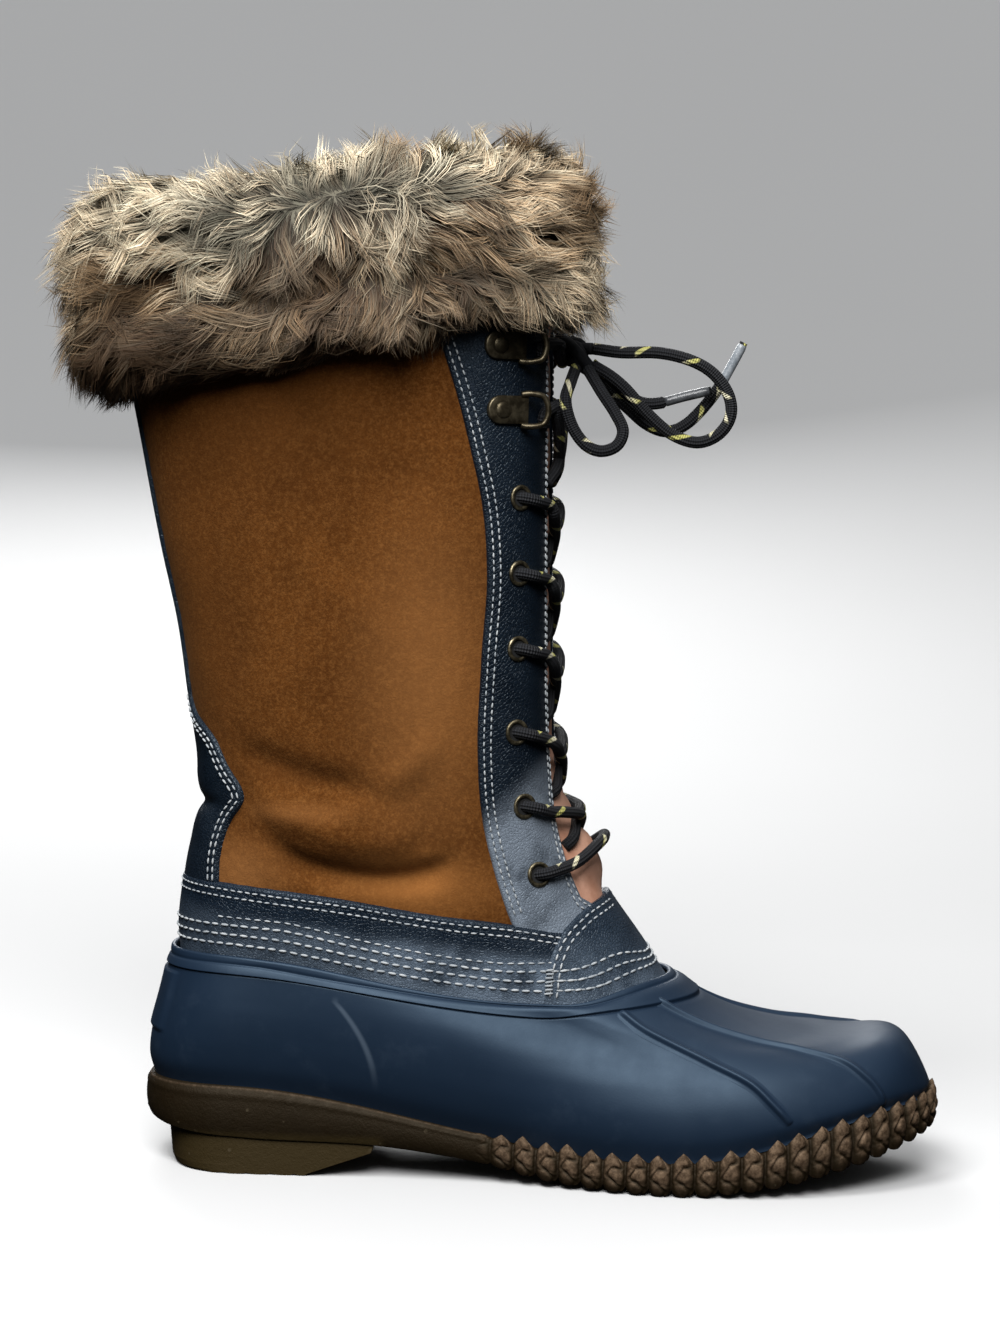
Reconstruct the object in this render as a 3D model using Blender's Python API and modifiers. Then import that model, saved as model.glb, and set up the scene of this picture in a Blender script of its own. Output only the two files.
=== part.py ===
"""Right duck boot: gum rubber sole, moulded rubber lower, suede shaft, leather trim, fur cuff and laces.

Sizes are in millimetres, measured forward from the back of the heel, and become metres where a mesh is made.
+X points to the toe, +Y to the inner (medial) side and +Z up. The origin is the middle of the heel's ground face.
The boot's skins are surfaces through a few rings. A ring is one closed line round the boot, walked by a number u:
0 at the back, 1 at the front by way of the outer side, and 2 at the back again by way of the inner side.
"""

import math
from collections import namedtuple

import bmesh
import bpy
import numpy as np
from mathutils import Matrix, Vector

for old in list(bpy.data.objects):
    bpy.data.objects.remove(old)
parts = bpy.data.collections.new("duck_boot")
cutters = bpy.data.collections.new("cutters")
bpy.context.scene.collection.children.link(parts)
bpy.context.scene.collection.children.link(cutters)

MM = 0.001

# Driving sizes.
SOLE_LENGTH = 282.0
HEEL_CENTRE = 40.0  # from the back of the heel to the origin
GAP = 0.3  # between pieces that touch
RUBBER_WALL = 2.5
SUEDE_WALL = 2.0
TRIM_WALL = 1.4
TRIM_OUT = GAP + TRIM_WALL  # how far the trim's face stands off the suede
COLLAR_HEIGHT = 338.0
TRIM_TOP = 332.0
CORD = 4.2
EYELET_RADIUS = 3.4
EYELET_WIRE = 1.15

Finish = namedtuple("Finish", "colour roughness metallic")
GUM = Finish((0.115, 0.062, 0.028), 0.7, 0.0)
NAVY_RUBBER = Finish((0.016, 0.032, 0.075), 0.38, 0.0)
NAVY_LEATHER = Finish((0.018, 0.030, 0.052), 0.5, 0.0)
SUEDE = Finish((0.33, 0.125, 0.026), 0.9, 0.0)
TAN_LEATHER = Finish((0.34, 0.10, 0.04), 0.55, 0.0)
FELT = Finish((0.30, 0.26, 0.21), 0.95, 0.0)
FUR = Finish((0.36, 0.27, 0.18), 0.95, 0.0)
BRASS = Finish((0.28, 0.21, 0.11), 0.42, 1.0)
LACE = Finish((0.012, 0.012, 0.013), 0.8, 0.0)

# A ring runs from back to front. back_z, side_z and front_z are its heights at its two ends and, at the share
# low_at of its length, at its sides. heel, waist and ball are half widths. swing is how much of the last's sideways
# curve it has. heel_cap and toe_cap are the lengths of its rounded ends, and toe_round is 1 for an ellipse, less
# for a blunter front.
Ring = namedtuple(
    "Ring", "back front back_z side_z front_z low_at heel waist ball swing heel_cap toe_cap toe_round"
)
SOLE_EDGE = Ring(0.0, SOLE_LENGTH, 31, 11.8, 29.5, 0.64, 33.5, 31.5, 49.0, 1.0, 34, 66, 0.90)
SHELL_RINGS = (
    Ring(2.5, 279.5, 31.3, 12.1, 29.8, 0.64, 31.0, 29.5, 46.5, 1.00, 34, 64, 0.90),
    Ring(0.8, 279.6, 38.0, 20.0, 33.4, 0.64, 34.0, 33.5, 48.8, 1.00, 34, 65, 0.90),
    Ring(1.2, 274.6, 45.0, 28.5, 40.0, 0.65, 35.8, 36.0, 48.6, 1.00, 34, 64, 0.90),
    Ring(2.6, 267.0, 51.5, 37.0, 46.6, 0.67, 36.8, 37.5, 46.2, 0.95, 34, 62, 0.90),
    Ring(4.2, 253.0, 57.5, 44.5, 49.4, 0.69, 37.2, 38.2, 42.8, 0.85, 34, 58, 0.90),
    Ring(5.6, 235.5, 63.0, 51.0, 51.0, 0.71, 37.0, 38.4, 40.0, 0.70, 34, 54, 0.90),
    Ring(6.8, 216.5, 68.5, 56.5, 55.2, 0.73, 36.6, 38.2, 38.4, 0.50, 35, 50, 0.90),
    Ring(7.6, 200.5, 73.0, 60.5, 61.8, 0.75, 36.2, 37.8, 37.6, 0.35, 36, 46, 0.90),
    Ring(8.2, 187.5, 77.0, 63.8, 71.0, 0.77, 35.8, 37.4, 37.0, 0.20, 38, 44, 0.90),
)
LEATHER_RINGS = (
    Ring(12.4, 175.0, 86, 76, 81, 0.80, 32.6, 34.4, 33.4, 0.1, 40, 44, 0.86),
    Ring(13.4, 163.5, 97, 91, 97, 0.80, 33.8, 35.2, 33.6, 0.0, 41, 44, 0.84),
    Ring(15.2, 155.0, 110, 108, 111, 0.80, 35.4, 36.4, 34.4, 0.0, 42, 42, 0.78),
    Ring(19.5, 147.6, 127, 127, 127, 0.50, 36.8, 37.4, 35.4, 0.0, 44, 38, 0.68),
    Ring(18.2, 144.0, 146, 146, 146, 0.50, 38.2, 38.8, 37.0, 0.0, 47, 36, 0.60),
    Ring(14.6, 142.0, 168, 168, 168, 0.50, 39.6, 40.4, 38.6, 0.0, 50, 35, 0.56),
    Ring(10.8, 141.2, 193, 193, 193, 0.50, 41.0, 41.8, 40.0, 0.0, 52, 34, 0.55),
    Ring(4.2, 140.6, 222, 222, 222, 0.50, 42.2, 43.0, 41.2, 0.0, 54, 34, 0.55),
    Ring(-2.2, 140.2, 254, 254, 254, 0.50, 43.2, 44.0, 42.2, 0.0, 56, 34, 0.55),
    Ring(-8.4, 139.8, 287, 287, 287, 0.50, 44.2, 45.0, 43.0, 0.0, 57, 34, 0.55),
    Ring(-14.5, 139.5, 338, 338, 338, 0.50, 45.2, 46.0, 44.0, 0.0, 58, 34, 0.55),
)
HEEL_ROUND = 0.85
WIDTH_AT = (0.12, 0.42, 0.70)  # shares of the length where heel, waist and ball are measured
SWING_AT = (0.15, 0.45, 0.72, 1.0)
SWING_BY = (0.0, -4.0, 1.5, 8.0)
SHELL_TURNS = (0.20, 0.70)  # where u leaves the rounded heel and enters the rounded toe
LEATHER_TURNS = (0.34, 0.70)

# Side outlines of the trim: x forward, z up.
BAND_TOP = ((-25, 104), (12, 103.5), (28, 103), (68, 99.5), (108, 93.5), (132, 91), (147, 88))
THROAT_EDGE = ((143, 40), (143.6, 67), (145.6, 81), (149, 88), (157.5, 96), (168, 100.5), (230, 101))
EYESTAY_BACK = (
    (132.6, 90), (128.4, 101), (125, 112), (121.2, 129), (119.6, 149), (120.4, 182),
    (122, 214), (120, 237), (116, 255), (111, 274), (105, 292), (94, 318), (86, 345),
)
COUNTER_EDGE = ((29, 104.4), (29.5, 113), (33, 124), (38, 132), (31, 145), (25, 155))  # from the band up
STAY_DEPTH = 0.85  # how far the strip up the back seam reaches round the shaft, seen from the side
SHAFT_STEPS = 36
SHAFT_LEVELS = (0, 1, 2, 3, 4, 5, 6, 7, 9, 11, 13)  # rings of the leather surface that its meshes use
THROAT = ((94, 15.0), (99, 20.0), (112, 19.5), (130, 17.5), (160, 16.5), (345, 16.5))  # height, half width

# The sole's underside and what stands below it: x, z.
BAND_UNDER = ((0, 17.5), (10, 15.5), (40, 13.0), (90, 11.5), (118, 8.0), (145, 2.6), (172, 0.7), (200, 0.7),
              (222, 3.2), (245, 8.2), (265, 13.6), (282, 19.0))
LINK_START = 118.0
LINK_PITCH = 8.7
LINK_OUT = 1.5
LINK_STEPS = 3
HEEL_STEPS = 11  # plain corners of the edge from the heel to the first link
HEEL_BLOCK = ((8.5, 22), (9, 5), (11.5, 0), (62, 0), (85, 9.5), (88, 19))
HEEL_INSET = 2.5
TREAD = ((120, 9), (144, 3.0), (156, 0), (207, 0), (225, 3.0), (246, 8.0), (264, 13), (264, 20), (240, 14.5),
         (207, 8.5), (156, 8.5), (120, 13))
TREAD_INSET = 9.0
LUG_GROOVES = (142, 154, 166, 178, 190, 202, 214, 226, 238)
HEEL_GROOVES = (26, 37, 48, 59)
GROOVE_WIDTH = 3.0
GROOVE_DEPTH = 2.0
TOE_NUB = Vector((278.0, 7.5, 23.0))

# Raised ribs on the vamp: routes of x, y.
RIBS = (
    ((170, -33), (182, -36.6), (200, -39.7), (217, -43), (230, -44)),
    ((182, -23.5), (197, -24.2), (218, -25.2), (235, -26.7), (252, -28.3), (262, -27)),
    ((183, 20), (197, 24), (218, 30), (235, 34), (252, 37), (262, 36)),
    ((174, 30), (190, 37), (207, 44), (221, 49), (233, 51)),
)
RIB_WIDTH = 3.2
RIB_OUT = 0.9

EYELETS = ((132, 239), (132, 213), (132, 187), (132, 158), (135, 132), (140.5, 108))
HOOKS = ((126, 291), (127, 269))


# Plain helpers.
def eased(value, stops, levels):
    """Levels at the stops, with soft steps between them and constant beyond the ends."""
    value = np.asarray(value, float)
    total = np.full(value.shape, float(levels[0]))
    for k in range(len(stops) - 1):
        share = np.clip((value - stops[k]) / (stops[k + 1] - stops[k]), 0.0, 1.0)
        total = total + (levels[k + 1] - levels[k]) * share * share * (3.0 - 2.0 * share)
    return total


def ring_point(ring, u, turns):
    """Points of one ring, in an array whose last axis is x, y, z."""
    u = np.mod(np.asarray(u, float), 2.0)
    side = np.where(u <= 1.0, -1.0, 1.0)
    part = np.where(u <= 1.0, u, 2.0 - u)
    length = ring.front - ring.back
    heel_angle = 0.5 * math.pi * np.clip(part / turns[0], 0.0, 1.0)
    toe_angle = 0.5 * math.pi * np.clip((1.0 - part) / (1.0 - turns[1]), 0.0, 1.0)
    straight = np.clip((part - turns[0]) / (turns[1] - turns[0]), 0.0, 1.0)
    middle = length - ring.heel_cap - ring.toe_cap
    along = ring.heel_cap * (1.0 - np.cos(heel_angle)) + straight * middle + ring.toe_cap * np.cos(toe_angle)
    fullness = np.sin(heel_angle) ** HEEL_ROUND * np.sin(toe_angle) ** ring.toe_round
    share = along / length
    half = eased(share, WIDTH_AT, (ring.heel, ring.waist, ring.ball))
    centre = ring.swing * eased(share, SWING_AT, SWING_BY)
    height = eased(
        share,
        (0.1, ring.low_at - 0.03, ring.low_at + 0.03, 1.0),
        (ring.back_z, ring.side_z, ring.side_z, ring.front_z),
    )
    return np.stack([ring.back + along, centre + side * half * fullness, height], axis=-1)


def spline_weight(distance):
    """Weight of a ring on a surface point that lies this many rings away (Catmull-Rom)."""
    d = np.abs(distance)
    near = 1.5 * d**3 - 2.5 * d**2 + 1.0
    far = -0.5 * d**3 + 2.5 * d**2 - 4.0 * d + 2.0
    return np.where(d < 1.0, near, np.where(d < 2.0, far, 0.0))


def sampled(curve):
    """The same curve, read between points that are worked out once."""
    stops = np.linspace(0.0, 2.0, 1601)
    points = curve(stops)

    def read(u):
        u = np.mod(u, 2.0)
        return np.stack([np.interp(u, stops, points[:, axis]) for axis in range(3)], axis=-1)

    return read


def surface_through(curves):
    """A function of u and v that runs smoothly through the curves, which lie at v = 0, 1, 2 and so on."""
    curves = [sampled(curve) for curve in curves]

    def surface(u, v):
        u, v = np.broadcast_arrays(np.asarray(u, float), np.asarray(v, float))
        lines = [curve(u) for curve in curves]
        lines = [2.0 * lines[0] - lines[1], *lines, 2.0 * lines[-1] - lines[-2]]
        total = np.zeros(u.shape + (3,))
        for k, line in enumerate(lines):
            total = total + spline_weight(v - (k - 1))[..., None] * line
        return total

    return surface


def outward(surface, u, v):
    """Unit normals of a surface, pointing away from the foot."""
    u, v = np.broadcast_arrays(np.asarray(u, float), np.asarray(v, float))
    along = surface(u + 0.006, v) - surface(u - 0.006, v)
    up = surface(u, v + 0.02) - surface(u, v - 0.02)
    normal = np.cross(along, up)
    return normal / np.linalg.norm(normal, axis=-1, keepdims=True)


def offset(surface, distance):
    """The surface moved outward by a distance, or inward by a negative one."""

    def moved(u, v):
        return surface(u, v) + distance * outward(surface, u, v)

    return moved


def curves_of(rings, turns):
    return [lambda u, ring=ring: ring_point(ring, u, turns) for ring in rings]


def leather_surface():
    """The suede's outer face: it starts inside the rubber wall and then runs through its own rings."""
    depth = RUBBER_WALL + TRIM_OUT + 3 * GAP
    rubber = offset(surface_through(curves_of(SHELL_RINGS, LEATHER_TURNS)), -depth)
    tucked = [lambda u, level=level: rubber(u, level) for level in TUCKED_AT]
    return surface_through([*tucked, *curves_of(LEATHER_RINGS, LEATHER_TURNS)])


TUCKED_AT = (6.5, 7.4, 8.0)  # rings of the rubber that the leather's lower end runs behind
LEATHER_TOP = len(LEATHER_RINGS) + len(TUCKED_AT) - 1.0
shell_surface = surface_through(curves_of(SHELL_RINGS, SHELL_TURNS))
leather = leather_surface()


def level_at(u, height):
    """v on the leather surface where it reaches a height, for each u."""
    u = np.asarray(u, float)
    low = np.zeros(u.shape)
    high = np.full(u.shape, LEATHER_TOP)
    for _ in range(18):
        middle = 0.5 * (low + high)
        below = leather(u, middle)[..., 2] < height
        low = np.where(below, middle, low)
        high = np.where(below, high, middle)
    return 0.5 * (low + high)


def spot_on_leather(x, height, side, lift):
    """Place and axes (forward, outward, up) on the trim at one x and height; side is -1 outer, 1 inner."""
    reach = np.linspace(0.3, 0.97, 300)
    u = float(np.interp(x, leather(reach, level_at(reach, height))[:, 0], reach))
    u = u if side < 0 else 2.0 - u
    v = float(level_at(u, height))
    out = Vector(outward(leather, u, v))
    forward = Vector(leather(u - 0.01 * side, v) - leather(u + 0.01 * side, v)).normalized()
    up = forward.cross(out) if side > 0 else out.cross(forward)
    return Vector(leather(u, v)) + out * lift, forward, out, up.normalized()


# Mesh helpers.
def place(point):
    """Millimetres from the back of the heel to metres from the origin."""
    return Vector(((point[0] - HEEL_CENTRE) * MM, point[1] * MM, point[2] * MM))


def finish_material(name, finish):
    material = bpy.data.materials.new(name)
    material.use_nodes = True
    shader = material.node_tree.nodes["Principled BSDF"]
    shader.inputs["Base Color"].default_value = (*finish.colour, 1.0)
    shader.inputs["Roughness"].default_value = finish.roughness
    shader.inputs["Metallic"].default_value = finish.metallic
    return material


def add_object(name, bm, finish=None):
    """Makes an object of a bmesh: a part with its own material, or a cutter where there is no finish."""
    mesh = bpy.data.meshes.new(name)
    bm.to_mesh(mesh)
    bm.free()
    obj = bpy.data.objects.new(name, mesh)
    if finish is None:
        cutters.objects.link(obj)
        obj.hide_render = True
        obj.display_type = "WIRE"
        return obj
    parts.objects.link(obj)
    mesh.materials.append(finish_material(name, finish))
    mesh.shade_smooth()
    mesh.set_sharp_from_angle(angle=math.radians(40))
    return obj


def grid_mesh(points, closed):
    """Quads between the rows of an array of points, rows running round the boot, columns going up."""
    bm = bmesh.new()
    rows = [[bm.verts.new(place(point)) for point in row] for row in points]
    count = len(rows)
    for i in range(count if closed else count - 1):
        here, following = rows[i], rows[(i + 1) % count]
        for j in range(len(here) - 1):
            bm.faces.new((here[j], following[j], following[j + 1], here[j + 1]))
    return bm


def solid_band(name, points, closed, thickness, grow, finish=None):
    """A wall on a grid of points: grow is 1 to thicken outward and -1 inward."""
    obj = add_object(name, grid_mesh(points, closed), finish)
    wall = obj.modifiers.new("wall", "SOLIDIFY")
    wall.thickness = thickness * MM
    wall.offset = grow
    wall.use_even_offset = True
    return obj


def prism(name, outline, plane, low, high):
    """A cutter: a flat outline in the XZ or YZ plane, drawn out along the third axis."""
    bm = bmesh.new()
    if plane == "XZ":
        corners = [place((a, low, b)) for a, b in outline]
        reach = Vector((0.0, (high - low) * MM, 0.0))
    else:
        corners = [place((low, a, b)) for a, b in outline]
        reach = Vector(((high - low) * MM, 0.0, 0.0))
    face = bm.faces.new([bm.verts.new(corner) for corner in corners])
    drawn = bmesh.ops.extrude_face_region(bm, geom=[face])
    moved = [item for item in drawn["geom"] if isinstance(item, bmesh.types.BMVert)]
    bmesh.ops.translate(bm, verts=moved, vec=reach)
    bmesh.ops.recalc_face_normals(bm, faces=bm.faces)
    return add_object(name, bm)


def cut(obj, cutter, operation="DIFFERENCE"):
    boolean = obj.modifiers.new(operation.lower(), "BOOLEAN")
    boolean.operation = operation
    boolean.object = cutter
    boolean.solver = "EXACT"


def smooth_route(route, count):
    """Points of a smooth curve through a route's points, evenly spaced in number between them."""
    route = np.array(route, float)
    padded = np.vstack([2 * route[0] - route[1], route, 2 * route[-1] - route[-2]])
    place_on = np.linspace(0.0, len(route) - 1.0, count)
    weights = spline_weight(place_on[:, None] - (np.arange(len(padded)) - 1)[None, :])
    return weights @ padded


def tube(name, route, count, radius, finish=None):
    """A round cord along a smooth curve through the route, as a closed mesh."""
    curve = bpy.data.curves.new(name, "CURVE")
    curve.dimensions = "3D"
    curve.bevel_depth = radius * MM
    curve.bevel_resolution = 1
    curve.use_fill_caps = True
    spline = curve.splines.new("POLY")
    line = smooth_route(route, count)
    spline.points.add(len(line) - 1)
    for point, spot in zip(spline.points, line):
        point.co = (*place(spot), 1.0)
    guide = bpy.data.objects.new(name + "_guide", curve)
    cutters.objects.link(guide)
    bpy.context.view_layer.update()
    evaluated = guide.evaluated_get(bpy.context.evaluated_depsgraph_get())
    mesh = bpy.data.meshes.new_from_object(evaluated)
    bm = bmesh.new()
    bm.from_mesh(mesh)
    bmesh.ops.remove_doubles(bm, verts=bm.verts, dist=1e-5)
    bmesh.ops.recalc_face_normals(bm, faces=bm.faces)
    bpy.data.objects.remove(guide)
    bpy.data.curves.remove(curve)
    bpy.data.meshes.remove(mesh)
    return add_object(name, bm, finish)


def table(rows, value):
    """Looks a value up in a table of pairs, on a smooth line through them."""
    xs = np.array([row[0] for row in rows], float)
    zs = np.array([row[1] for row in rows], float)
    slopes = np.gradient(zs, xs)
    value = np.clip(value, xs[0], xs[-1])
    k = np.clip(np.searchsorted(xs, value, side="right") - 1, 0, len(xs) - 2)
    span = xs[k + 1] - xs[k]
    t = (value - xs[k]) / span
    rise = (2 * t**3 - 3 * t**2 + 1) * zs[k] + (3 * t**2 - 2 * t**3) * zs[k + 1]
    return rise + span * ((t**3 - 2 * t**2 + t) * slopes[k] + (t**3 - t**2) * slopes[k + 1])


# Sole.
def edge_walk():
    """The sole's edge as x, y, outward x, outward y and how far a link stands out there, once round."""
    dense = np.linspace(0.0, 1.0, 1001)
    line = ring_point(SOLE_EDGE, dense, SHELL_TURNS)[:, :2]
    run = np.concatenate([[0.0], np.cumsum(np.linalg.norm(np.diff(line, axis=0), axis=1))])
    first = run[np.argmax(line[:, 0] > LINK_START)]
    links = round((run[-1] - first) / LINK_PITCH)
    plain = np.linspace(0.0, first, HEEL_STEPS, endpoint=False)
    linked = np.linspace(first, run[-1], links * LINK_STEPS + 1)
    half = np.interp(np.concatenate([plain, linked]), run, dense)
    raised = np.where(np.arange(len(linked)) % LINK_STEPS == 0, 0.0, 1.0)
    half_stands = np.concatenate([np.zeros(len(plain)), raised])
    u = np.concatenate([half, 2.0 - half[-2:0:-1]])
    stands = np.concatenate([half_stands, half_stands[-2:0:-1]])
    x, y = ring_point(SOLE_EDGE, u, SHELL_TURNS)[:, :2].T
    ahead = np.stack([np.roll(x, -1) - np.roll(x, 1), np.roll(y, -1) - np.roll(y, 1)], axis=1)
    ahead /= np.linalg.norm(ahead, axis=1, keepdims=True)
    return x, y, ahead[:, 1], -ahead[:, 0], stands


def cap_faces(bm, loop, up):
    """Closes a loop that starts at the heel with strips between its outer and inner halves."""
    count = len(loop)
    near, far = 1, count - 1
    corners = [(loop[0], loop[near], loop[far])]
    while far - near > 2:
        corners.append((loop[near], loop[near + 1], loop[far - 1], loop[far]))
        near, far = near + 1, far - 1
    if far - near == 2:
        corners.append((loop[near], loop[near + 1], loop[far]))
    for face in corners:
        bm.faces.new(face if up else face[::-1])


def block(name, profile, inset, grooves):
    """A grooved part of the sole under the band: a side profile, as wide as the sole's edge less an inset."""
    top = max(z for _, z in profile)
    cutter = prism(name + "_profile", profile, "XZ", -70, 70)
    bm = bmesh.new()
    line = ring_point(SOLE_EDGE, np.linspace(0.0, 2.0, 44, endpoint=False), SHELL_TURNS)
    ahead = np.roll(line, -1, axis=0) - np.roll(line, 1, axis=0)
    out = np.stack([ahead[:, 1], -ahead[:, 0]], axis=1)
    out /= np.linalg.norm(out, axis=1, keepdims=True)
    flat = line[:, :2] - inset * out
    low_loop = [bm.verts.new(place((x, y, -4.0))) for x, y in flat]
    high_loop = [bm.verts.new(place((x, y, top + 1.0))) for x, y in flat]
    for i, lower in enumerate(low_loop):
        j = (i + 1) % len(low_loop)
        bm.faces.new((lower, low_loop[j], high_loop[j], high_loop[i]))
    bm.faces.new(high_loop)
    bm.faces.new(low_loop[::-1])
    outline = add_object(name + "_outline", bm)
    cut(outline, cutter, "INTERSECT")
    edge = profile[: 1 + max(range(len(profile)), key=lambda k: profile[k][0])]
    for x in grooves:
        floor = float(np.interp(x, [spot[0] for spot in edge], [spot[1] for spot in edge])) + GROOVE_DEPTH
        low, high = x - GROOVE_WIDTH / 2, x + GROOVE_WIDTH / 2
        slot = ((low, -6), (high, -6), (high, floor), (low, floor))
        cut(outline, prism(f"{name}_groove_{x}", slot, "XZ", -60, 60))
    return outline


def make_outsole():
    x, y, out_x, out_y, stands = edge_walk()
    top = ring_height(x)
    under = table(BAND_UNDER, x)
    thick = top - under
    linked = stands * LINK_OUT
    rows = (
        (-TREAD_INSET + 1.0, under + 3.0, 0.0),
        (-0.9, under, 0.7),
        (0.6, under + 0.42 * thick, 1.0),
        (0.4, under + 0.74 * thick, 1.0),
        (-2.2, top, 0.35),
    )
    bm = bmesh.new()
    loops = []
    for out, z, share in rows:
        reach = out + share * linked
        loops.append([bm.verts.new(place(spot)) for spot in zip(x + out_x * reach, y + out_y * reach, z)])
    for lower, upper in zip(loops, loops[1:]):
        for i in range(len(lower)):
            j = (i + 1) % len(lower)
            bm.faces.new((lower[i], lower[j], upper[j], upper[i]))
    cap_faces(bm, loops[-1], True)
    cap_faces(bm, loops[0], False)
    outsole = add_object("outsole", bm, GUM)
    cut(outsole, block("heel_block", HEEL_BLOCK, HEEL_INSET, HEEL_GROOVES), "UNION")
    cut(outsole, block("tread_block", TREAD, TREAD_INSET, LUG_GROOVES), "UNION")
    nub = bmesh.new()
    bmesh.ops.create_uvsphere(nub, u_segments=12, v_segments=7, radius=1.0)
    shape = Matrix.LocRotScale(place(TOE_NUB), None, Vector((6.5, 11.0, 5.6)) * MM)
    bmesh.ops.transform(nub, matrix=shape, verts=nub.verts)
    cut(outsole, add_object("toe_nub", nub), "UNION")
    return outsole


def ring_height(x):
    """Height of the band's top edge at x."""
    share = x / SOLE_LENGTH
    return eased(
        share,
        (0.1, SOLE_EDGE.low_at - 0.03, SOLE_EDGE.low_at + 0.03, 1.0),
        (SOLE_EDGE.back_z, SOLE_EDGE.side_z, SOLE_EDGE.side_z, SOLE_EDGE.front_z),
    )


def make_insole():
    """A 3 mm footbed on the sole, inside the rubber wall."""
    u = np.linspace(0.0, 2.0, 32, endpoint=False)
    edge = offset(shell_surface, -(RUBBER_WALL + 1.4))(u, np.full(u.shape, 0.0))
    bm = bmesh.new()
    heights = ring_height(edge[:, 0]) + 2 * GAP
    low = [bm.verts.new(place((x, y, z))) for (x, y, _), z in zip(edge, heights)]
    high = [bm.verts.new(place((x, y, z + 3.0))) for (x, y, _), z in zip(edge, heights)]
    for i in range(len(low)):
        j = (i + 1) % len(low)
        bm.faces.new((low[i], low[j], high[j], high[i]))
    cap_faces(bm, high, True)
    cap_faces(bm, low, False)
    return add_object("insole", bm, FELT)


# Rubber lower.
def vamp_point(x, y):
    """u and v of the rubber's outer face above one x and y of the forefoot."""
    u = np.linspace(0.5, 1.5, 241)[:, None]
    v = np.linspace(0.6, len(SHELL_RINGS) - 1.0, 121)[None, :]
    points = shell_surface(u, v)
    away = (points[..., 0] - x) ** 2 + (points[..., 1] - y) ** 2
    best = np.unravel_index(np.argmin(away), away.shape)
    return u[best[0], 0], v[0, best[1]]


def make_rubber_shell():
    """The rubber lower, with its raised rim, the ribs on its vamp and the bare raised patch at its heel."""
    last = len(SHELL_RINGS) - 1.0
    u = np.linspace(0.0, 2.0, 44, endpoint=False)[:, None]
    v = np.array([0.0, 1.0, 2.0, 3.0, 4.0, 5.0, 6.55, 6.75, last])[None, :]
    points = shell_surface(u, v)
    lip = np.array([0, 0, 0, 0, 0, 0, 0, 0.9, 0.9])[None, :, None]
    points = points + lip * outward(shell_surface, u, v)
    shell = solid_band("rubber_shell", points, True, RUBBER_WALL, -1.0, NAVY_RUBBER)
    for k, route in enumerate(RIBS):
        spots = []
        for x, y in route:
            a, b = vamp_point(x, y)
            spots.append(shell_surface(a, b) + (RIB_OUT - RIB_WIDTH / 2) * outward(shell_surface, a, b))
        rib = tube(f"rib_{k}", spots, 9, RIB_WIDTH / 2)
        cut(shell, rib, "UNION")
    u = np.linspace(-0.075, 0.075, 5)[:, None]
    v = np.linspace(2.6, 6.2, 5)[None, :]
    patch = solid_band("heel_patch", offset(shell_surface, -1.0)(u, v), False, 2.2, 1.0)
    cut(shell, patch, "UNION")
    return shell


# Shaft and its trim.
def shaft_walk(count):
    return np.linspace(0.0, 2.0, count, endpoint=False)[:, None]


def throat_cutter():
    right = [(-half, z) for z, half in THROAT]
    left = [(half, z) for z, half in reversed(THROAT)]
    return prism("throat_cutter", right + left, "YZ", 112, 240)


def make_upper(throat):
    v = np.array(SHAFT_LEVELS, float)[None, :]
    upper = solid_band("upper", leather(shaft_walk(SHAFT_STEPS), v), True, SUEDE_WALL, -1.0, SUEDE)
    cut(upper, throat)
    return upper


def trim_sheet(name, first, last, finish):
    """A wall all round the shaft, just off the suede, from which a piece of trim is cut."""
    v = np.array([level for level in SHAFT_LEVELS if first <= level <= last], float)[None, :]
    base = offset(leather, GAP)
    return solid_band(name, base(shaft_walk(SHAFT_STEPS), v), True, TRIM_WALL, 1.0, finish)


def make_ankle_band():
    band = trim_sheet("ankle_band", 0, 5, NAVY_LEATHER)
    front = [(x - GAP, z) for x, z in THROAT_EDGE if z < 88]
    outline = [(-25, 20), *[(x, z) for x, z in BAND_TOP], *front[::-1], (143 - GAP, 20)]
    cut(band, prism("ankle_band_outline", outline, "XZ", -70, 70), "INTERSECT")
    return band


def make_throat_piece():
    piece = trim_sheet("throat_piece", 0, 5, NAVY_LEATHER)
    outline = [*THROAT_EDGE, (230, 40)]
    cut(piece, prism("throat_piece_outline", outline, "XZ", -70, 70), "INTERSECT")
    return piece


def make_eyestay(name, side, throat):
    stay = trim_sheet(name, 2, LEATHER_TOP, NAVY_LEATHER)
    lower = [(132.6, 91 + GAP), (147 - GAP, 88.4 + GAP), (149, 88 + 2 * GAP), (157.5 - GAP, 96 + 2 * GAP),
             (168, 100.5 + 2 * GAP), (230, 102)]
    outline = [*lower, (230, TRIM_TOP), (90.5, TRIM_TOP), *EYESTAY_BACK[-2:0:-1]]
    low, high = (-70, -6) if side < 0 else (6, 70)
    cut(stay, throat)
    cut(stay, prism(name + "_outline", outline, "XZ", low, high), "INTERSECT")
    return stay


def make_back_stay():
    """Heel counter, narrowing to the strip up the back seam."""
    stay = trim_sheet("back_stay", 3, LEATHER_TOP, NAVY_LEATHER)
    strip = [(ring.back + STAY_DEPTH, ring.back_z) for ring in LEATHER_RINGS if 160 < ring.back_z < TRIM_TOP]
    top = (LEATHER_RINGS[-1].back + STAY_DEPTH, TRIM_TOP)
    outline = [(-40, 104.4), *COUNTER_EDGE, (17.5, 158), *strip, top, (-40, TRIM_TOP)]
    cut(stay, prism("back_stay_outline", outline, "XZ", -70, 70), "INTERSECT")
    return stay


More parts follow.
